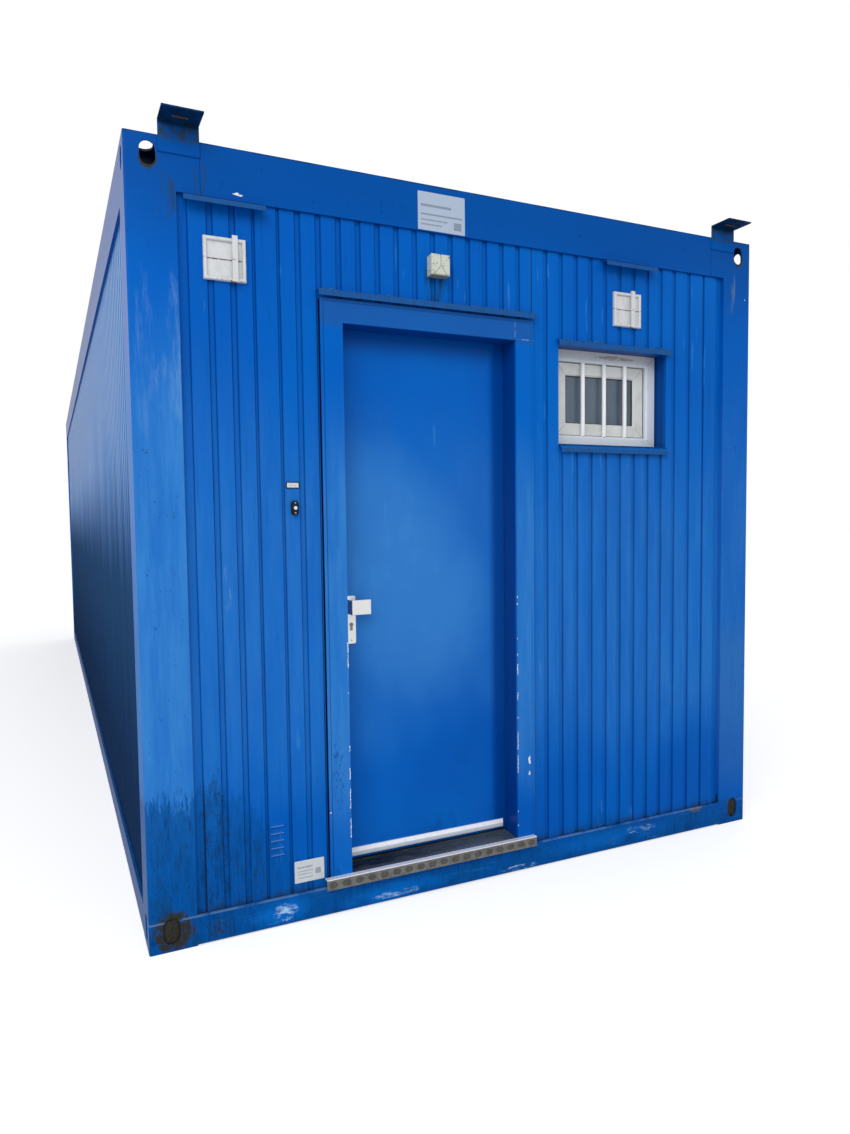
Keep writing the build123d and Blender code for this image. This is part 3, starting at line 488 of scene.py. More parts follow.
# Painted shade: the insides of the hollow corner fittings are darkened nearly black.
inside = beam.y.ramp(frame_face + 0.006, frame_face + 0.009) * beam.y.ramp(-4.35, -4.39)
painted_hollow_shade = (beam.z.ramp(0.165, 0.155) | beam.z.ramp(2.78, 2.795)) * inside
painted_hollow_shade = painted_hollow_shade * abs(beam.x).ramp(-left_edge - 0.006, -left_edge - 0.009)
beam.coat(painted_hollow_shade * 0.85, grime_and_shade_dark)
beam.relief(beam.noise(260.0, 2.0), 0.0002)
corner_names = ["front_left", "front_right", "rear_left", "rear_right"]
paint_nodes(
    beam.done(0.3 + veil * 0.15), "corner_posts", "base_beams", "roof_beams",
    *[height + "_fitting_" + corner for height in ("top", "bottom") for corner in corner_names],
)

# %% [markdown]
# The angle brackets' flanges are painted nearly black as painted shade on their undersides, with dark specks
# of dirt. Brown water has run from the fold down the leg.

# %% Bracket paint
bracket, veil = blue_paint("bracket_paint", fade=0.1)
painted_flange_shade = bracket.z.ramp(roof_high.z + 0.03, roof_high.z + 0.045)
soot_and_shade_noise = bracket.noise(30.0, 4.0, 0.65).ramp(0.35, 0.65)
fold = bracket.z.band(roof_high.z - 0.005, roof_high.z + 0.03, 0.02)
bracket.coat(0.7, rail_blue)
bracket.coat(fold * soot_and_shade_noise * 0.9, (44, 58, 58))
# Painted shade: the flange's underside is painted nearly black, with dark specks of dirt.
bracket.coat(painted_flange_shade * (0.75 + soot_and_shade_noise * 0.2), (8, 36, 56))
bracket.coat(painted_flange_shade * bracket.specks(60.0, 0.16) * 0.7, (30, 44, 44))
paint_nodes(bracket.done(0.5 + soot_and_shade_noise * 0.2), "roof_brackets")

# %% [markdown]
# The door and its frame are flat sheet with a smoother coat. The leaf is milky in one soft cloud beside the
# knob, where hands and sleeves pass. The reveal that faces left sees little sky, so it is painted dark blue
# as painted shade, and so are the strip of the leaf beside it and the leaf's top under the head.

# %% Door paint
leaf, veil = blue_paint("leaf_paint", fade=0.25, brushed=0.15, specular=0.06)
cloud = leaf.noise(2.2, 3.0, 0.55, (1, 1, 0.7), 7.0) - 0.5
across = (leaf.x - leaf_low.x - 0.24) / 0.5
rise = (leaf.z - 1.52 + (leaf.x - leaf_low.x) * 0.45) / 0.55
touched = (across * across + rise * rise + cloud * 1.6).ramp(1.3, 0.0)
smudges = leaf.noise(9.0, 4.0, 0.65, (1, 1, 0.6), 11.0).ramp(0.5, 0.75) * touched
leaf.coat(touched * 0.55 + smudges * 0.2, milky_blue)
# Painted shade: the leaf's strip beside the reveal and its top under the head are darkened.
shaded = leaf.x.ramp(leaf_high.x - 0.1, leaf_high.x - 0.05)
shaded = shaded | (leaf.z.ramp(leaf_high.z - 0.12, leaf_high.z - 0.03) * 0.7)
leaf.coat(shaded * 0.75, painted_shade_blue)
soiled = leaf.noise(10.0, 4.0, 0.65, (1, 1, 0.5), 5.0).ramp(0.5, 0.75)
soiled = soiled * leaf.z.ramp(0.7, 0.25)
leaf.coat(soiled * 0.3, night_blue)
leaf.relief(leaf.noise(300.0, 2.0), 0.00008)
paint_nodes(leaf.done(0.22 + touched * 0.2), "door_leaf")
jamb, veil = blue_paint("jamb_paint", faded=(0.2, 0.7, 1.6, 2.2), fade=0.7)
# Painted shade: the reveal behind the door frame's face is darkened.
painted_reveal_shade = jamb.y.ramp(door_face + 0.003, door_face + 0.015)
jamb.coat(painted_reveal_shade * 0.85, painted_shade_blue)
# Painted shade: a dark line at the fold just behind the frame's face.
painted_bend_shade = (jamb.y - door_face).band(0.0005, 0.0025, 0.0004)
jamb.coat(painted_bend_shade * 0.6, night_blue)
damp_foot(jamb, 0.5, 0.5)
scored = (jamb.x - door_high.x).band(-0.095, -0.0935, 0.001) * jamb.z.band(2.39, 2.45, 0.02)
beyond = jamb.x.ramp(door_high.x - 0.1, door_high.x - 0.09)
scored = scored | (jamb.z.band(2.3835, 2.3855, 0.001) * beyond)
patchy = jamb.noise(45.0, 3.0, 0.7).ramp(0.4, 0.6)
jamb.coat(scored * patchy * 0.7, scrape)
over = jamb.z.ramp(door_high.z - 0.12, door_high.z - 0.09)
jamb.coat(over * (1 - painted_reveal_shade) * 0.35, (44, 76, 120))
drips = spot(jamb, left_edge + 0.745, 0.58, 0.03, 0.17, 1.6)
pocked = jamb.noise(120.0, 4.0, 0.7, (1, 1, 0.35), 4.0).ramp(0.5, 0.64)
jamb.coat(drips * pocked * 0.5, night_blue)
jamb.relief(jamb.noise(300.0, 2.0), 0.0001)
paint_nodes(jamb.done(0.28 + veil * 0.15), "door_frame")

# %% [markdown]
# The rain hoods and the window's sill are folded from the same sheet as the walls. Moss sits along their
# upper edge, the hanging lip has gone grey with dirt, and behind the lip the shade deepens downwards.

# %% Flashing paint
flashing, veil = blue_paint("flashing_paint", fade=0.2)
lip = flashing.y.ramp(panel_face - 0.0185, panel_face - 0.0215)
streaks = flashing.noise(60.0, 4.0, 0.65, (1, 1, 0.3), 2.0).ramp(0.3, 0.7)
flashing.coat(lip * (0.45 + streaks * 0.4), (40, 76, 112))
by_wall = flashing.y.ramp(panel_face - 0.016, panel_face - 0.004)
mossy = flashing.noise(40.0, 4.0, 0.7).ramp(0.45, 0.65) * by_wall
flashing.coat(mossy * 0.7, algae)
behind = flashing.y.ramp(panel_face - 0.018, panel_face + 0.002)
behind = behind * flashing.z.ramp(window_high.z, window_low.z)
flashing.coat(behind * 0.85, (0, 30, 72))
flashing.relief(flashing.noise(300.0, 2.0), 0.0001)
paint_nodes(flashing.done(0.35 + streaks * 0.15), "rain_hoods", "window_sill")

# %% [markdown]
# Bare metals come next: zinc under the floor and on the roof, with its grey bloom, and brushed steel on the
# lock, the hinges and the step. The lock's cylinder is painted darker than its plate, as painted shade. The
# step's face is packed with road dirt, its pressed grips are darker with dirt and painted shade, and only its
# nosing is painted bright, as a painted highlight along its top edge. Zinc needs no more than two greys with
# a cloud between them, and so do many plain materials further down, so one function makes all of those.

# %% Zinc, steel and coated sill
def two_tone(name, first, second, cloud, rough, edges=(0.3, 0.7), specular=0.3, **constants):
    """A finish that wanders between two screen colours.

    cloud holds the words of its noise and edges the noise's two thresholds. rough is the roughness of the
    first colour and what the second adds to it.
    """
    finish = Finish(name, Specular_IOR_Level=specular, **constants)
    mask = finish.noise(*cloud).ramp(*edges)
    finish.colour = finish.mix(mask, first, second)
    return finish.done(rough[0] + mask * rough[1])


zinc_greys = (150, 154, 156), (186, 188, 186)
zinc = two_tone("galvanised", *zinc_greys, (18.0, 4.0, 0.6), (0.4, 0.25), (0.35, 0.7), 0.4, Metallic=0.7)
paint_nodes(zinc, "floor_joists", "floor_underside", "roof_joists", "roof_sheet")
steel = Finish("brushed_steel", Metallic=0.9)
brushing = steel.noise(900.0, 2.0, 0.5, (0.05, 1, 1))
steel.colour = steel.mix(brushing, (236, 237, 238), (250, 250, 250))
# Painted shade: the lock's cylinder is painted darker than its plate.
proud = leaf_face - steel.y
cylinder = proud.ramp(0.0065, 0.0075) * proud.ramp(0.012, 0.011)
steel.coat(cylinder * 0.8, (84, 82, 78))
paint_nodes(
    steel.done(0.25 + brushing * 0.15),
    "door_knob", "outer_lock_plate", "inner_lock_plate", "inner_lever", "hinge_pins", "hinge_leaves",
)
tread = Finish("step_steel", Metallic=0.5)
step_low, step_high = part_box("door_step")
dirt = tread.noise(50.0, 4.0, 0.65).ramp(0.3, 0.8)
# Painted highlight: the nosing along the step's top edge is painted white.
nosing = tread.z.ramp(step_high.z - 0.005, step_high.z - 0.003)
# Dirt and painted shade: the pressed grips behind the face are darkened.
pressed = tread.y.ramp(step_low.y + 0.0004, step_low.y + 0.0012)
tread.colour = tread.mix(dirt, (128, 128, 122), (98, 94, 86))
tread.coat(pressed * 0.55, (58, 56, 54))
tread.coat(nosing * 0.95, (255, 255, 255))
paint_nodes(tread.done(0.35 + dirt * 0.3), "door_step")
sill = Finish("sill_coating", Specular_IOR_Level=0.4)
sill_low, sill_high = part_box("door_sill")
dust = sill.noise(30.0, 4.0, 0.6, (0.3, 1, 1)).ramp(0.4, 0.75)
# Painted reflection: the sill is painted lighter towards its right end.
painted_sheen = sill.x.ramp(sill_low.x + 0.1, sill_high.x - 0.1)
sill.colour = sill.mix(dust * 0.5, (24, 32, 46), (72, 82, 96))
sill.coat(painted_sheen * 0.55, (96, 108, 122))
paint_nodes(sill.done(0.2 + dust * 0.3), "door_sill")

# %% [markdown]
# The window, vents and small fittings are plastics that have yellowed or greyed with weather. Rusty water
# has run from the vents' steel rods, along the seam between the blades and at their foot.

# %% Window plastic and vents
white = Finish("white_plastic", Specular_IOR_Level=0.3)
streak = white.noise(22.0, 4.0, 0.6, (1, 1, 0.2)).ramp(0.5, 0.8)
head = white.z.ramp(window_high.z - 0.06, window_high.z - 0.02)
white.colour = white.mix(streak * 0.5, (214, 222, 232), (180, 184, 186))
white.coat(head * 0.5, (188, 190, 186))
window_middle = (window_low + window_high) / 2
stained = spot(white, window_middle.x + 0.07, window_high.z - 0.022, 0.12, 0.012, 2.0)
stained = stained * white.noise(80.0, 4.0, 0.7, (0.15, 1, 1)).ramp(0.42, 0.58)
white.coat(stained * 0.75, (140, 128, 108))
broken_edge = spot(white, window_low.x + 0.12, window_low.z + 0.006, 0.07, 0.005, 2.0)
white.coat(broken_edge * 0.8, (48, 52, 54))
paint_nodes(white.done(0.35 + streak * 0.2), "window_frame", "bell_button")
grubby = two_tone("sash_plastic", (216, 218, 216), (192, 194, 190), (9.0, 4.0, 0.6), (0.4, 0.2), (0.4, 0.8))
paint_nodes(grubby, "window_sash")
vent = Finish("vent_plastic", Specular_IOR_Level=0.3)
vent_low, vent_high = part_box("vent_frames")
seam_z = (vent_low.z + vent_high.z) / 2
dusty = vent.noise(40.0, 4.0, 0.65, (1, 1, 0.4)).ramp(0.4, 0.75)
vent.colour = vent.mix(dusty * 0.45, (206, 209, 213), (180, 178, 168))
patchy = vent.noise(60.0, 3.0, 0.65, (1, 1, 0.4), 9.0)
seam_rust = vent.z.band(seam_z - 0.002, seam_z + 0.001, 0.003) * patchy.ramp(0.4, 0.6)
foot_rust = vent.z.ramp(vent_low.z + 0.02, vent_low.z + 0.006) * patchy.ramp(0.52, 0.68)
vent.coat((seam_rust | foot_rust) * 0.6, (120, 90, 68))
paint_nodes(vent.done(0.4 + dusty * 0.2), "vent_frames", "vent_blades", "vent_link_bars")

# %% [markdown]
# The bars and the drip bar under the leaf are white enamel, and the bell is black plastic. The junction box
# has gone the colour of old cream, and its lid is cracked: one line comes down to the middle and forks there.
# The glass is nearly opaque: its grey-blue is a painted reflection of the sky over a dark room.

# %% Enamel, small plastics and glass
enamel = Finish("white_enamel", Specular_IOR_Level=0.4)
chalk = enamel.noise(30.0, 3.0, 0.6, (1, 1, 0.3)).ramp(0.4, 0.8)
bar_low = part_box("weather_bar")[0]
shade_line = enamel.z.band(bar_low.z, bar_low.z + 0.012, 0.004)
enamel.colour = enamel.mix(chalk * 0.5, (244, 246, 250), (214, 218, 222))
enamel.coat(shade_line * 0.6, (120, 136, 156))
paint_nodes(enamel.done(0.3 + chalk * 0.2), "window_bars", "weather_bar")
cream = Finish("cream_plastic", Specular_IOR_Level=0.3)
age = cream.noise(40.0, 4.0, 0.6).ramp(0.45, 0.8)
under = cream.z.ramp(box_low.z + 0.008, box_low.z + 0.001)
cream.colour = cream.mix(age * 0.7, (196, 202, 192), (166, 162, 146))
cream.coat(under * 0.7, (92, 82, 66))
shaky = (cream.noise(90.0, 2.0, 0.5, (0, 1, 1), 3.0) - 0.5) * 0.012
from_middle, box_z = cream.x + shaky - box_middle.x, box_middle.z
crack = from_middle.band(-0.0009, 0.0009, 0.0008) * cream.z.ramp(box_z - 0.004, box_z)
fork = (abs(from_middle) - (box_z - cream.z) * 0.7).band(-0.0009, 0.0009, 0.0008)
fork = fork * cream.z.ramp(box_z, box_z - 0.002)
chipped = cream.noise(70.0, 3.0, 0.7).ramp(0.6, 0.64)
cream.coat((crack | fork) * 0.75, (74, 86, 74))
cream.coat(chipped * 0.8, (66, 62, 52))
paint_nodes(cream.done(0.45 + age * 0.2), "junction_box")
black = two_tone("black_plastic", (8, 10, 14), (28, 32, 40), (80.0,), (0.35, 0.2), (0.4, 0.8), 0.2)
paint_nodes(black, "bell_housing")
# Painted reflection: the glass's greys stand for the sky over a dark room.
painted_reflection_greys = (72, 86, 102), (92, 106, 122)
glass = two_tone("glass", *painted_reflection_greys, (3.0, 2.0, 0.5), (0.06, 0.05), specular=0.5, Alpha=0.9)
paint_nodes(glass, "window_glass")

# %% [markdown]
# Inside, a covered board floor and a pale ceiling lining show when the door stands open.

# %% Floor covering and ceiling lining
boards = two_tone("floor_covering", (120, 112, 100), (150, 142, 130), (12.0, 5.0, 0.65), (0.4, 0.15))
paint_nodes(boards, "floor_deck")
ceiling = two_tone("ceiling_lining", (232, 230, 224), (218, 216, 208), (30.0,), (0.5, 0.1))
paint_nodes(ceiling, "ceiling_panel")

# %% [markdown]
# The small pieces are thin shells, each a stack of rings skinned with quads. One function closes every shell
# and turns it outwards, so a plate, a weld bead and a chip of paint differ only in the arrays that describe
# their rings. Each new piece then rides the body that carries it.

# %% Shells from rings
def lofts(name, rings, finish, body="cabin", looped=False, smooth=False):
    """Skins rings of points into closed shells.

    rings has the shape pieces, rings, points, 3. Point j of ring i is joined to point j + 1 and to the same
    two points of ring i + 1. A looped stack returns to its first ring, as a picture frame does. Any other
    stack is closed by one many-sided face at each end.
    """
    pieces, tall, around, _ = rings.shape
    index = np.arange(pieces * tall * around).reshape(pieces, tall, around)
    here = index if looped else index[:, :-1]
    above = np.roll(index, -1, 1) if looped else index[:, 1:]
    quads = np.stack([here, np.roll(here, -1, 2), np.roll(above, -1, 2), above], axis=-1).reshape(-1, 4)
    ends = [] if looped else np.concatenate([index[:, 0], index[:, -1]]).tolist()
    mesh = bpy.data.meshes.new(name)
    mesh.from_pydata(rings.reshape(-1, 3).tolist(), [], quads.tolist() + ends)
    shell = bmesh.new()
    shell.from_mesh(mesh)
    bmesh.ops.recalc_face_normals(shell, faces=shell.faces)
    shell.to_mesh(mesh)
    shell.free()
    mesh.polygons.foreach_set("use_smooth", np.full(len(mesh.polygons), smooth))
    mesh.materials.append(finish.material)
    piece = bpy.data.objects.new(name, mesh)
    scene.collection.objects.link(piece)
    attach(piece, body)
    print(name, "made of", len(mesh.polygons), "faces on", body)
    return piece


def facing(flat, away):
    """Points whose x and z are given as pairs, each at its own y or at one y for all."""
    return np.stack([flat[..., 0], np.broadcast_to(away, flat.shape[:-1]), flat[..., 1]], axis=-1)


def raised(outlines, places, face, height, bevel=0.0004):
    """Rings of plates that stand up from a face towards the viewer.

    outlines is points x 2, or pieces x points x 2, round each plate's middle. places is pieces x 2. Three
    rings stand at the face, just under the top, and at the top, where the outline is drawn in by the bevel.
    """
    outlines = np.asarray(outlines)[..., None, :, :]
    depth = np.array([-0.0003, height - bevel, height])
    inset = np.array([0.0, 0.0, bevel])[:, None, None]
    flat = np.asarray(places)[:, None, None, :] + outlines - np.sign(outlines) * inset
    return facing(flat, (face - depth)[:, None])


quarters = np.array([(1, 1), (-1, 1), (-1, -1), (1, -1)])


def rounded_outline(width, height, corner, steps=4):
    """Points round a rectangle with rounded corners: each quarter turn is added to its corner's centre."""
    turns = (np.arange(4)[:, None] * pi / 2 + np.linspace(0, pi / 2, steps)).ravel()
    centres = np.repeat(quarters, steps, axis=0) * [width / 2 - corner, height / 2 - corner]
    return centres + corner * np.stack([np.cos(turns), np.sin(turns)], axis=1)


# %% [markdown]
# Three plates are fixed to the front: a sign on the top rail, an information plate low beside the door, and
# a name label above the bell. Their print is left out. Plain grey rules stand in for it, laid as bands across
# the plate's height, so the plates read as printed from a distance and say nothing.

# %% Plates without words
def printed_plate(name, place, size, corner, face, thickness, bands, paper=(206, 210, 214)):
    """A pale plate whose bands, given as shares of its height and width, carry plain grey rules."""
    (x, z), (width, height) = place, size
    card = Finish(name + "_print", Specular_IOR_Level=0.2)
    u = (card.x - (x - width / 2)) / width
    v = (card.z - (z - height / 2)) / height
    grey = card.noise(2400.0, 1.0, 0.5, (1, 1, 0.5)).ramp(0.45, 0.55)
    weathered = card.noise(60.0, 4.0, 0.6).ramp(0.4, 0.8)
    card.colour = card.mix(weathered * 0.5, paper, (176, 182, 188))
    for low, high, start, end in bands:
        rule = v.band(low, high, 0.004) * u.band(start, end, 0.004)
        card.coat(rule * (0.25 + grey * 0.5), (70, 78, 92))
    rings = raised(rounded_outline(width, height, corner), [place], face, thickness)
    lofts(name, rings, card.done(0.4 + weathered * 0.2))


sign_bands = [
    (0.62, 0.68, 0.06, 0.7), (0.40, 0.44, 0.06, 0.94), (0.26, 0.29, 0.06, 0.62), (0.14, 0.17, 0.06, 0.5),
    (0.1, 0.3, 0.76, 0.92),
]
sign_place, sign_size, sign_paper = (left_edge + 1.2405, 2.868), (0.217, 0.154), (164, 180, 202)
printed_plate("rail_sign", sign_place, sign_size, 0.004, frame_face, 0.002, sign_bands, sign_paper)
info_bands = [
    (0.66, 0.72, 0.1, 0.6), (0.5, 0.53, 0.1, 0.62), (0.36, 0.39, 0.1, 0.55), (0.2, 0.23, 0.1, 0.62),
    (0.3, 0.56, 0.7, 0.88),
]
info_place, info_size = (left_edge + 0.6205, 0.1995), (0.123, 0.089)
printed_plate("info_plate", info_place, info_size, 0.003, panel_face, 0.0015, info_bands)
name_place, name_depth = (left_edge + 0.585, 1.7425), 0.003
trim = two_tone("dark_trim", (12, 16, 26), (34, 38, 46), (200.0,), (0.4, 0.2))
name_frame = raised(rounded_outline(0.054, 0.026, 0.003), [name_place], panel_face, name_depth)
lofts("name_frame", name_frame, trim)
name_bands = [(0.42, 0.52, 0.2, 0.75)]
printed_plate("name_label", name_place, (0.046, 0.018), 0.001, panel_face - name_depth, 0.0006, name_bands)

# %% [markdown]
# Where paint has chipped off a folded edge the pale primer shows. Chips are ragged flakes, 0.25 mm thick,
# strung down the two edges of the door's opening and scattered in a few other spots. A flake's outline is
# an ellipse whose radius wanders by three sine waves of random phase.

# %% Paint chips
random = np.random.default_rng(21)


def ragged_outlines(half_sizes):
    """Outlines of ellipses whose radius is 1 plus three sine waves, each of its own random phase."""
    angle = np.linspace(0, 2 * pi, 14, endpoint=False)
    phase = random.uniform(0, 2 * pi, (len(half_sizes), 3, 1))
    radius = 1 + 0.17 * np.sin(np.arange(2, 5)[:, None] * angle + phase).sum(axis=1)
    unit = np.stack([np.cos(angle), np.sin(angle)], axis=-1)
    return unit * radius[..., None] * half_sizes[:, None, :]


def chip_run(x, runs, singles):
    """Places down one edge: one chip every 8 mm inside each run of heights, and the single ones."""
    strings = [np.arange(low, high, 0.008) for low, high in runs]
    heights = np.concatenate(strings + [np.array(singles)])
    return np.stack([x + random.uniform(-0.001, 0.001, heights.size), heights], axis=1)


opening_left, opening_right = left_edge + 0.7965, left_edge + 1.5925
right_runs = [(0.909, 0.954), (0.796, 0.828), (0.569, 0.647), (0.464, 0.537)]
left_runs = [(1.012, 1.110), (0.669, 0.689), (0.553, 0.595), (0.434, 0.508), (0.313, 0.392)]
chip_places = np.concatenate([
    chip_run(opening_right + 0.0022, right_runs, [1.254, 1.223, 1.067, 0.995, 0.710, 0.281, 0.216]),
    chip_run(opening_left - 0.0022, left_runs, [0.906]),
])
chip_sizes = random.uniform([0.0012, 0.0025], [0.0024, 0.006], (len(chip_places), 2))
loose_places = np.array([
    (0.709, 0.425), (1.655, 0.508), (1.655, 0.448), (0.393, 2.8125), (0.405, 2.809), (2.957, 2.694),
]) + [left_edge, 0.0]
loose_sizes = np.array([
    (0.003, 0.003), (0.006, 0.017), (0.005, 0.008), (0.014, 0.004), (0.012, 0.003), (0.003, 0.003),
])
primer = two_tone("bare_primer", (236, 240, 244), (206, 212, 220), (300.0, 2.0), (0.6, 0.1), specular=0.2)
jamb_places = np.concatenate([chip_places, loose_places[:3]])
jamb_sizes = np.concatenate([chip_sizes, loose_sizes[:3]])
flake, feather = 0.00025, 0.0001
jamb_chips = raised(ragged_outlines(jamb_sizes), jamb_places, door_face, flake, feather)
lofts("jamb_chips", jamb_chips, primer)
frame_chips = raised(ragged_outlines(loose_sizes[3:]), loose_places[3:], frame_face, flake, feather)
lofts("frame_chips", frame_chips, primer)

# %% [markdown]
# The brackets are welded to the rail down both sides and along their foot. A weld bead is a low tube whose
# radius ripples along its length, because the welder's pool freezes in steps.

# %% Weld beads
def beads(starts, ends, radius, ripple):
    """Rings of tubes from starts to ends, whose radius is 1 + 0.18 sin(2 pi distance / ripple).

    A ring lies in the plane of y and of the direction across the bead, and closes at both ends to a fifth.
    """
    starts, ends = np.asarray(starts, float), np.asarray(ends, float)
    length = np.linalg.norm(ends - starts, axis=1)
    share = np.linspace(0, 1, int(length.max() / ripple * 4) + 2)
    ahead = (ends - starts) / length[:, None]
    away = np.array([0.0, -1.0, 0.0])
    across = np.cross(ahead, away)
    angle = np.linspace(0, 2 * pi, 8, endpoint=False)
    swell = 1 + 0.18 * np.sin(2 * pi * share[None] * length[:, None] / ripple)
    swell = radius * swell * np.where((share == 0) | (share == 1), 0.2, 1.0)
    middle = starts[:, None] + (ends - starts)[:, None] * share[None, :, None]
    spokes = np.cos(angle)[:, None] * across[:, None] + np.sin(angle)[:, None] * away
    return middle[:, :, None] + swell[..., None, None] * spokes[:, None]


bracket_in, bracket_out, bracket_foot, bracket_top = 0.118, 0.262, roof_high.z - 0.057, roof_high.z - 0.004
corner_signs = np.array([(-1, 1), (1, 1), (-1, -1), (1, -1)])
bead_starts, bead_ends = [], []
for side, end in corner_signs:
    y = frame_face * end
    near, far = side * (-left_edge - bracket_in), side * (-left_edge - bracket_out)
    bead_starts += [(near, y, bracket_foot), (far, y, bracket_foot), (near, y, bracket_foot)]
    bead_ends += [(near, y, bracket_top), (far, y, bracket_top), (far, y, bracket_foot)]
bead_radius, bead_ripple = 0.0035, 0.006
weld_rings = beads(bead_starts, bead_ends, bead_radius, bead_ripple)
lofts("bracket_welds", weld_rings, bracket, smooth=True)

# %% [markdown]
# Dried mud plugs the holes in the front's lower corners. Each plug is a ragged stack of rings that narrows
# towards its nose, with every point dented at random, and it stands back a little from the face.

# %% Mud plugs
def plugs(outline, places, face, levels, shares, dent):
    """Rings of the same outline at each level behind the face, scaled by its share and dented at random."""
    dents = random.normal(0, dent, (len(places), len(shares), len(outline), 3))
    rings = outline * np.asarray(shares)[:, None, None] - np.abs(dents[..., :2]) * np.sign(outline)
    flat = np.asarray(places)[:, None, None, :] + rings
    return facing(flat, face + np.asarray(levels)[:, None] + np.abs(dents[..., 2]))


mud = two_tone("dried_mud", (34, 34, 30), (66, 64, 56), (220.0, 5.0, 0.7), (0.8, 0.1), specular=0.1)
mud.relief(mud.noise(400.0, 4.0, 0.7), 0.002)
foot_hole = rounded_outline(0.0610, 0.0990, 0.030, steps=7)
foot_places = [(left_edge + hole_inset, 0.078), (-left_edge - hole_inset, 0.078)]
plug_levels, plug_shares = (0.050, 0.012, 0.0075, 0.005, 0.003, 0.002), (1.25, 1.25, 0.99, 0.8, 0.5, 0.15)
mud_rings = plugs(foot_hole, foot_places, frame_face, plug_levels, plug_shares, 0.0012)
lofts("mud_plugs", mud_rings, mud, smooth=True)

# %% [markdown]
# Small hardware: the bell's two screws, the keyhole, the screws of the junction box's lid and of the lock
# plate. A screw head is a low dome, whose rings follow a quarter circle from its rim to its crown.

# %% Screws and keyhole
def domes(places, face, radius, height):
    """Rings of low domes: radius cos(t) and height sin(t), as t goes from 0 to nearly a right angle."""
    t = np.linspace(0, 1.35, 4)
    angle = np.linspace(0, 2 * pi, 12, endpoint=False)
    circle = np.stack([np.cos(angle), np.sin(angle)], axis=-1)
    flat = np.asarray(places)[:, None, None, :] + radius * circle * np.cos(t)[:, None, None]
    return facing(flat, (face - height * np.sin(t))[:, None])


screw_greys = (196, 196, 194), (150, 148, 142)
screw = two_tone("screw_steel", *screw_greys, (500.0, 2.0), (0.35, 0.2), specular=0.5, Metallic=0.7)
bell_low, bell_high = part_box("bell_housing")
bell_middle = (bell_low + bell_high) / 2
bell_face = bell_high.y - 0.018
bell_screws = [(bell_middle.x, bell_middle.z + rise) for rise in (-0.0195, 0.0195)]
head_radius, head_height = 0.0032, 0.0012
bell_rings = domes(bell_screws, bell_face, head_radius, head_height)
lofts("bell_screws", bell_rings, screw, smooth=True)
lid_x, lid_z = (box_high.x - box_low.x) / 2 - 0.010, (box_high.z - box_low.z) / 2 - 0.010
lid_screws = quarters * [lid_x, lid_z] + [box_middle.x, box_middle.z]
lofts("lid_screws", domes(lid_screws, box_low.y, 0.003, 0.001), screw, smooth=True)
plate_low, plate_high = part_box("outer_lock_plate")
plate_x, cylinder_z = (plate_low.x + plate_high.x) / 2, 1.169
plate_face = leaf_face - 0.006
plate_screws = [(plate_x, plate_low.z + 0.014), (plate_x, plate_high.z - 0.014)]
lock_rings = domes(plate_screws, plate_face, head_radius, head_height)
lofts("lock_screws", lock_rings, screw, "door", smooth=True)
slit = rounded_outline(0.0016, 0.009, 0.0007)
keyhole = raised(slit, [(plate_x, cylinder_z)], plate_low.y, 0.0002, 0.0001)
lofts("keyhole", keyhole, trim, "door")

# %% [markdown]
# The window's mitres show as fine dark joints across its corners, and a black gasket runs round the glass.
# The gasket is a small square profile carried round a rectangle, with one ring at each corner.

# %% Window joints and gasket
def corners(low, high, inset=0.0):
    """The four corners of a box as seen from the front, each moved inwards by the inset."""
    across = [low.x, high.x, high.x, low.x]
    upright = [low.z, low.z, high.z, high.z]
    return np.stack([across, upright], axis=1) + quarters * inset


def carried_round(places, front_y, thickness, reach):
    """Rings of a square profile at the four corners of a rectangle, from each corner inwards."""
    out_in = np.array([0.0, 0.0, reach, reach])[None, :, None] * quarters[:, None]
    return facing(places[:, None] + out_in, front_y + np.array([0.0, thickness, thickness, 0.0]))[None]


sash_low, sash_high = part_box("window_sash")
pane_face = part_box("window_glass")[0].y
sash_width, sash_inset = 0.060, 0.008
gasket = carried_round(corners(sash_low, sash_high, sash_width), pane_face - 0.004, 0.0038, 0.003)
lofts("glass_gasket", gasket, trim, looped=True)
joint_dirt = two_tone("mitre_dirt", (126, 128, 126), (88, 88, 84), (200.0, 2.0), (0.7, 0.1), specular=0.1)
seal = carried_round(corners(sash_low, sash_high, 0.0005), sash_low.y - 0.002, 0.0025, 0.0035)
lofts("sash_seal", seal, joint_dirt, looped=True)
hair, long, short = 0.0009, 0.0434, 0.0425
mitre = np.array([(0.0, 0.0), (hair, 0.0), (long, short), (long, long), (short, long), (0.0, hair)])
mitres = mitre * quarters[:, None]
mitre_rings = raised(mitres, corners(window_low, window_high), window_low.y, 0.0002, 0.0)
sash_rings = raised(mitres, corners(sash_low, sash_high, sash_inset), sash_low.y, 0.0002, 0.0)
lofts("window_mitres", np.concatenate([mitre_rings, sash_rings]), joint_dirt)

# %% [markdown]
# Rust and dirt have packed the slot in each bracket, so no sky shows through it. Moss grows in tufts along
# the joint between the wall and the top of each hood, where the grooves drip. A tuft is a low dome like a
# screw head, only larger, and the tufts crowd round nine places drawn at random along each joint.

# %% Packed slots and moss
def lying(outline, places, top, height):
    """Rings of plates that lie on a level face: places gives x and y, and z runs up by the height."""
    up = np.array([0.0002, height - 0.0008, height])
    inset = np.array([0.0, 0.0, 0.0008])[:, None, None]
    flat = np.asarray(places)[:, None, None, :] + outline - np.sign(outline) * inset
    level = np.broadcast_to((top + up)[:, None], flat.shape[:3])
    return np.concatenate([flat, level[..., None]], axis=-1)


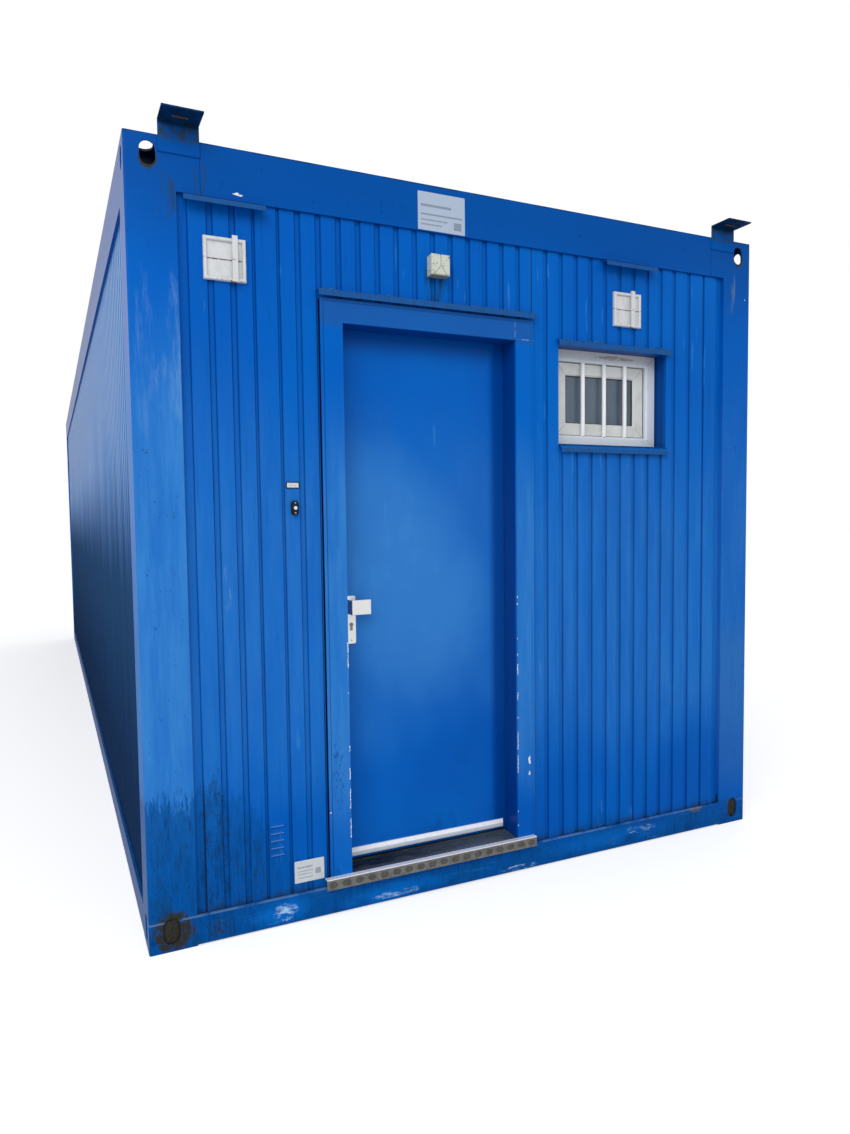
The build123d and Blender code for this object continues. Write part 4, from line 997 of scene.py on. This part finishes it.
rusty = two_tone("rusty_scale", (108, 82, 64), (66, 52, 42), (300.0, 3.0, 0.7), (0.7, 0.2), specular=0.2)
bracket_low, bracket_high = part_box("roof_brackets")
bracket_middle = -left_edge - (bracket_in + bracket_out) / 2
slot_places = corner_signs * [bracket_middle, bracket_low.y + 0.065]
fillings = lying(rounded_outline(0.0590, 0.0130, 0.0064), slot_places, bracket_high.z - 0.006, 0.005)
lofts("slot_fillings", fillings, rusty)

fuzz, fuzz_edges = (500.0, 4.0, 0.7), (0.35, 0.65)
moss = two_tone("moss", (34, 74, 104), (110, 150, 184), fuzz, (0.9, 0.05), fuzz_edges, 0.1)
moss.relief(moss.noise(*fuzz).ramp(*fuzz_edges), 0.0015)


def tufts(x0, x1, z, count):
    """Places along a hood's joint, and a radius for each tuft there."""
    seeds = random.choice(random.uniform(x0, x1, 9), count)
    along = np.clip(seeds + random.normal(0, 0.022, count), x0, x1)
    places = np.stack([along, z + random.normal(0, 0.0012, count)], axis=1)
    return domes(places, panel_face + 0.0005, random.uniform(0.001, 0.005, (count, 1, 1, 1)), 0.005)


door_tufts = tufts(door_low.x - 0.005, door_high.x + 0.005, door_high.z + 0.037, 46)
window_tufts = tufts(window_low.x - 0.01, window_high.x + 0.01, window_high.z + 0.025, 44)
all_tufts = np.concatenate([door_tufts, window_tufts])
lofts("hood_moss", all_tufts, moss, smooth=True)

# %% [markdown]
# At the foot of each vent's rod sits a rusty hook, bent from wire. It is a thin tube along a short path.

# %% Vent hooks
def wires(paths, radius):
    """Rings round each point of paths, pieces x points x 3, that lie across the path's own direction."""
    ahead = np.gradient(paths, axis=1)
    ahead = ahead / np.linalg.norm(ahead, axis=2, keepdims=True)
    across = np.cross(ahead, [0.0, -1.0, 0.0])
    across = across / np.linalg.norm(across, axis=2, keepdims=True)
    third = np.cross(ahead, across)
    angle = np.linspace(0, 2 * pi, 8, endpoint=False)[:, None]
    spokes = np.cos(angle) * across[:, :, None] + np.sin(angle) * third[:, :, None]
    return paths[:, :, None] + radius * spokes


rods_low, rods_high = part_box("vent_link_bars")
turn_angle = np.linspace(0, pi, 9)
bend_x, bend_z = 0.008 * np.cos(turn_angle), -0.007 * np.sin(turn_angle)
hook_y = rods_high.y - 0.004
hook_middles = np.array([(rods_low.x + 0.002, rods_low.z), (rods_high.x - 0.018, rods_low.z)])
hook_paths = np.stack([
    hook_middles[:, :1] + bend_x, np.full((2, 9), hook_y), hook_middles[:, 1:] + bend_z + 0.003,
], axis=-1)
wire_radius = 0.0022
lofts("vent_hooks", wires(hook_paths, wire_radius), rusty, smooth=True)

# %% [markdown]
# The camera stands where the photographer stood: at eye height, 3 m from the door and left of the cabin's
# edge, with a wide lens, turned 25 degrees to the right and a little downwards. Its axes are built from
# those angles, so that the lean and the tilt stay readable.

# %% Camera
eye = Vector((-1.7791, -7.5913, 1.6032))
turn, tilt, lean = radians(25.263), radians(-3.408), radians(-0.694)
photo_height, focal_pixels = 1134, 798.0
level_right = Vector((cos(turn), -sin(turn), 0.0))
forward = Vector((sin(turn) * cos(tilt), cos(turn) * cos(tilt), sin(tilt)))
level_up = level_right.cross(forward)
right = level_right * cos(lean) + level_up * sin(lean)
up = level_up * cos(lean) - level_right * sin(lean)
camera_data = bpy.data.cameras.new("camera")
camera_data.sensor_width = 36.0
camera_data.sensor_fit = "VERTICAL"
camera_data.sensor_height = 36.0
camera_data.lens = focal_pixels / photo_height * camera_data.sensor_height
camera = bpy.data.objects.new("camera", camera_data)
axes = Matrix((right, up, -forward)).transposed().to_4x4()
camera.matrix_world = Matrix.Translation(eye) @ axes
scene.collection.objects.link(camera)
scene.camera = camera
print("lens", round(camera_data.lens, 2), "mm, at", [round(part, 3) for part in eye])

# %% [markdown]
# The light is an overcast noon: a pale sky from everywhere and a soft, slightly stronger patch from above
# and in front. The sky that the camera, the gloss and the glass see is plain white.

# %% Sky, lamp and floor
sky_level, seen_level = 0.7, 1.0
world = bpy.data.worlds.new("sky")
world.use_nodes = True
scene.world = world
tree = world.node_tree
background = tree.nodes["Background"]
background.inputs["Color"].default_value = (1.0, 1.0, 1.0, 1.0)
path = tree.nodes.new("ShaderNodeLightPath")
seen = path.outputs["Is Camera Ray"]
for ray in ("Is Glossy Ray", "Is Transmission Ray"):
    either = tree.nodes.new("ShaderNodeMath")
    either.operation = "MAXIMUM"
    tree.links.new(seen, either.inputs[0])
    tree.links.new(path.outputs[ray], either.inputs[1])
    seen = either.outputs[0]
level = tree.nodes.new("ShaderNodeMapRange")
level.inputs["To Min"].default_value = sky_level
level.inputs["To Max"].default_value = seen_level
tree.links.new(seen, level.inputs["Value"])
tree.links.new(level.outputs[0], background.inputs["Strength"])

lamp_data = bpy.data.lights.new("soft_sky", "AREA")
lamp_data.shape = "RECTANGLE"
lamp_data.size = 8.0
lamp_data.size_y = 5.0
lamp_data.energy = 380.0
lamp = bpy.data.objects.new("soft_sky", lamp_data)
lamp_place = Vector((-4.5, -10.5, 6.5))
lamp.location = lamp_place
lamp.rotation_euler = (Vector((0.0, -3.5, 1.3)) - lamp_place).to_track_quat("-Z", "Y").to_euler()
scene.collection.objects.link(lamp)

floor_mesh = bpy.data.meshes.new("floor")
reach = 60.0
floor_mesh.from_pydata(
    [(-reach, -reach, 0), (reach, -reach, 0), (reach, reach, 0), (-reach, reach, 0)], [], [(0, 1, 2, 3)]
)
floor = bpy.data.objects.new("floor", floor_mesh)
scene.collection.objects.link(floor)
ground = Finish("studio_floor", Specular_IOR_Level=0.0, Roughness=0.9, Emission_Strength=0.45)
ground.feed(Base_Color=(0.82, 0.82, 0.82, 1.0))
by_camera = ground.node("ShaderNodeLightPath", output="Is Camera Ray")
ground.feed(Emission_Color=ground.mix(by_camera, (0, 0, 0), (255, 255, 255)))
floor.data.materials.append(ground.material)
scene.view_settings.view_transform = "Standard"
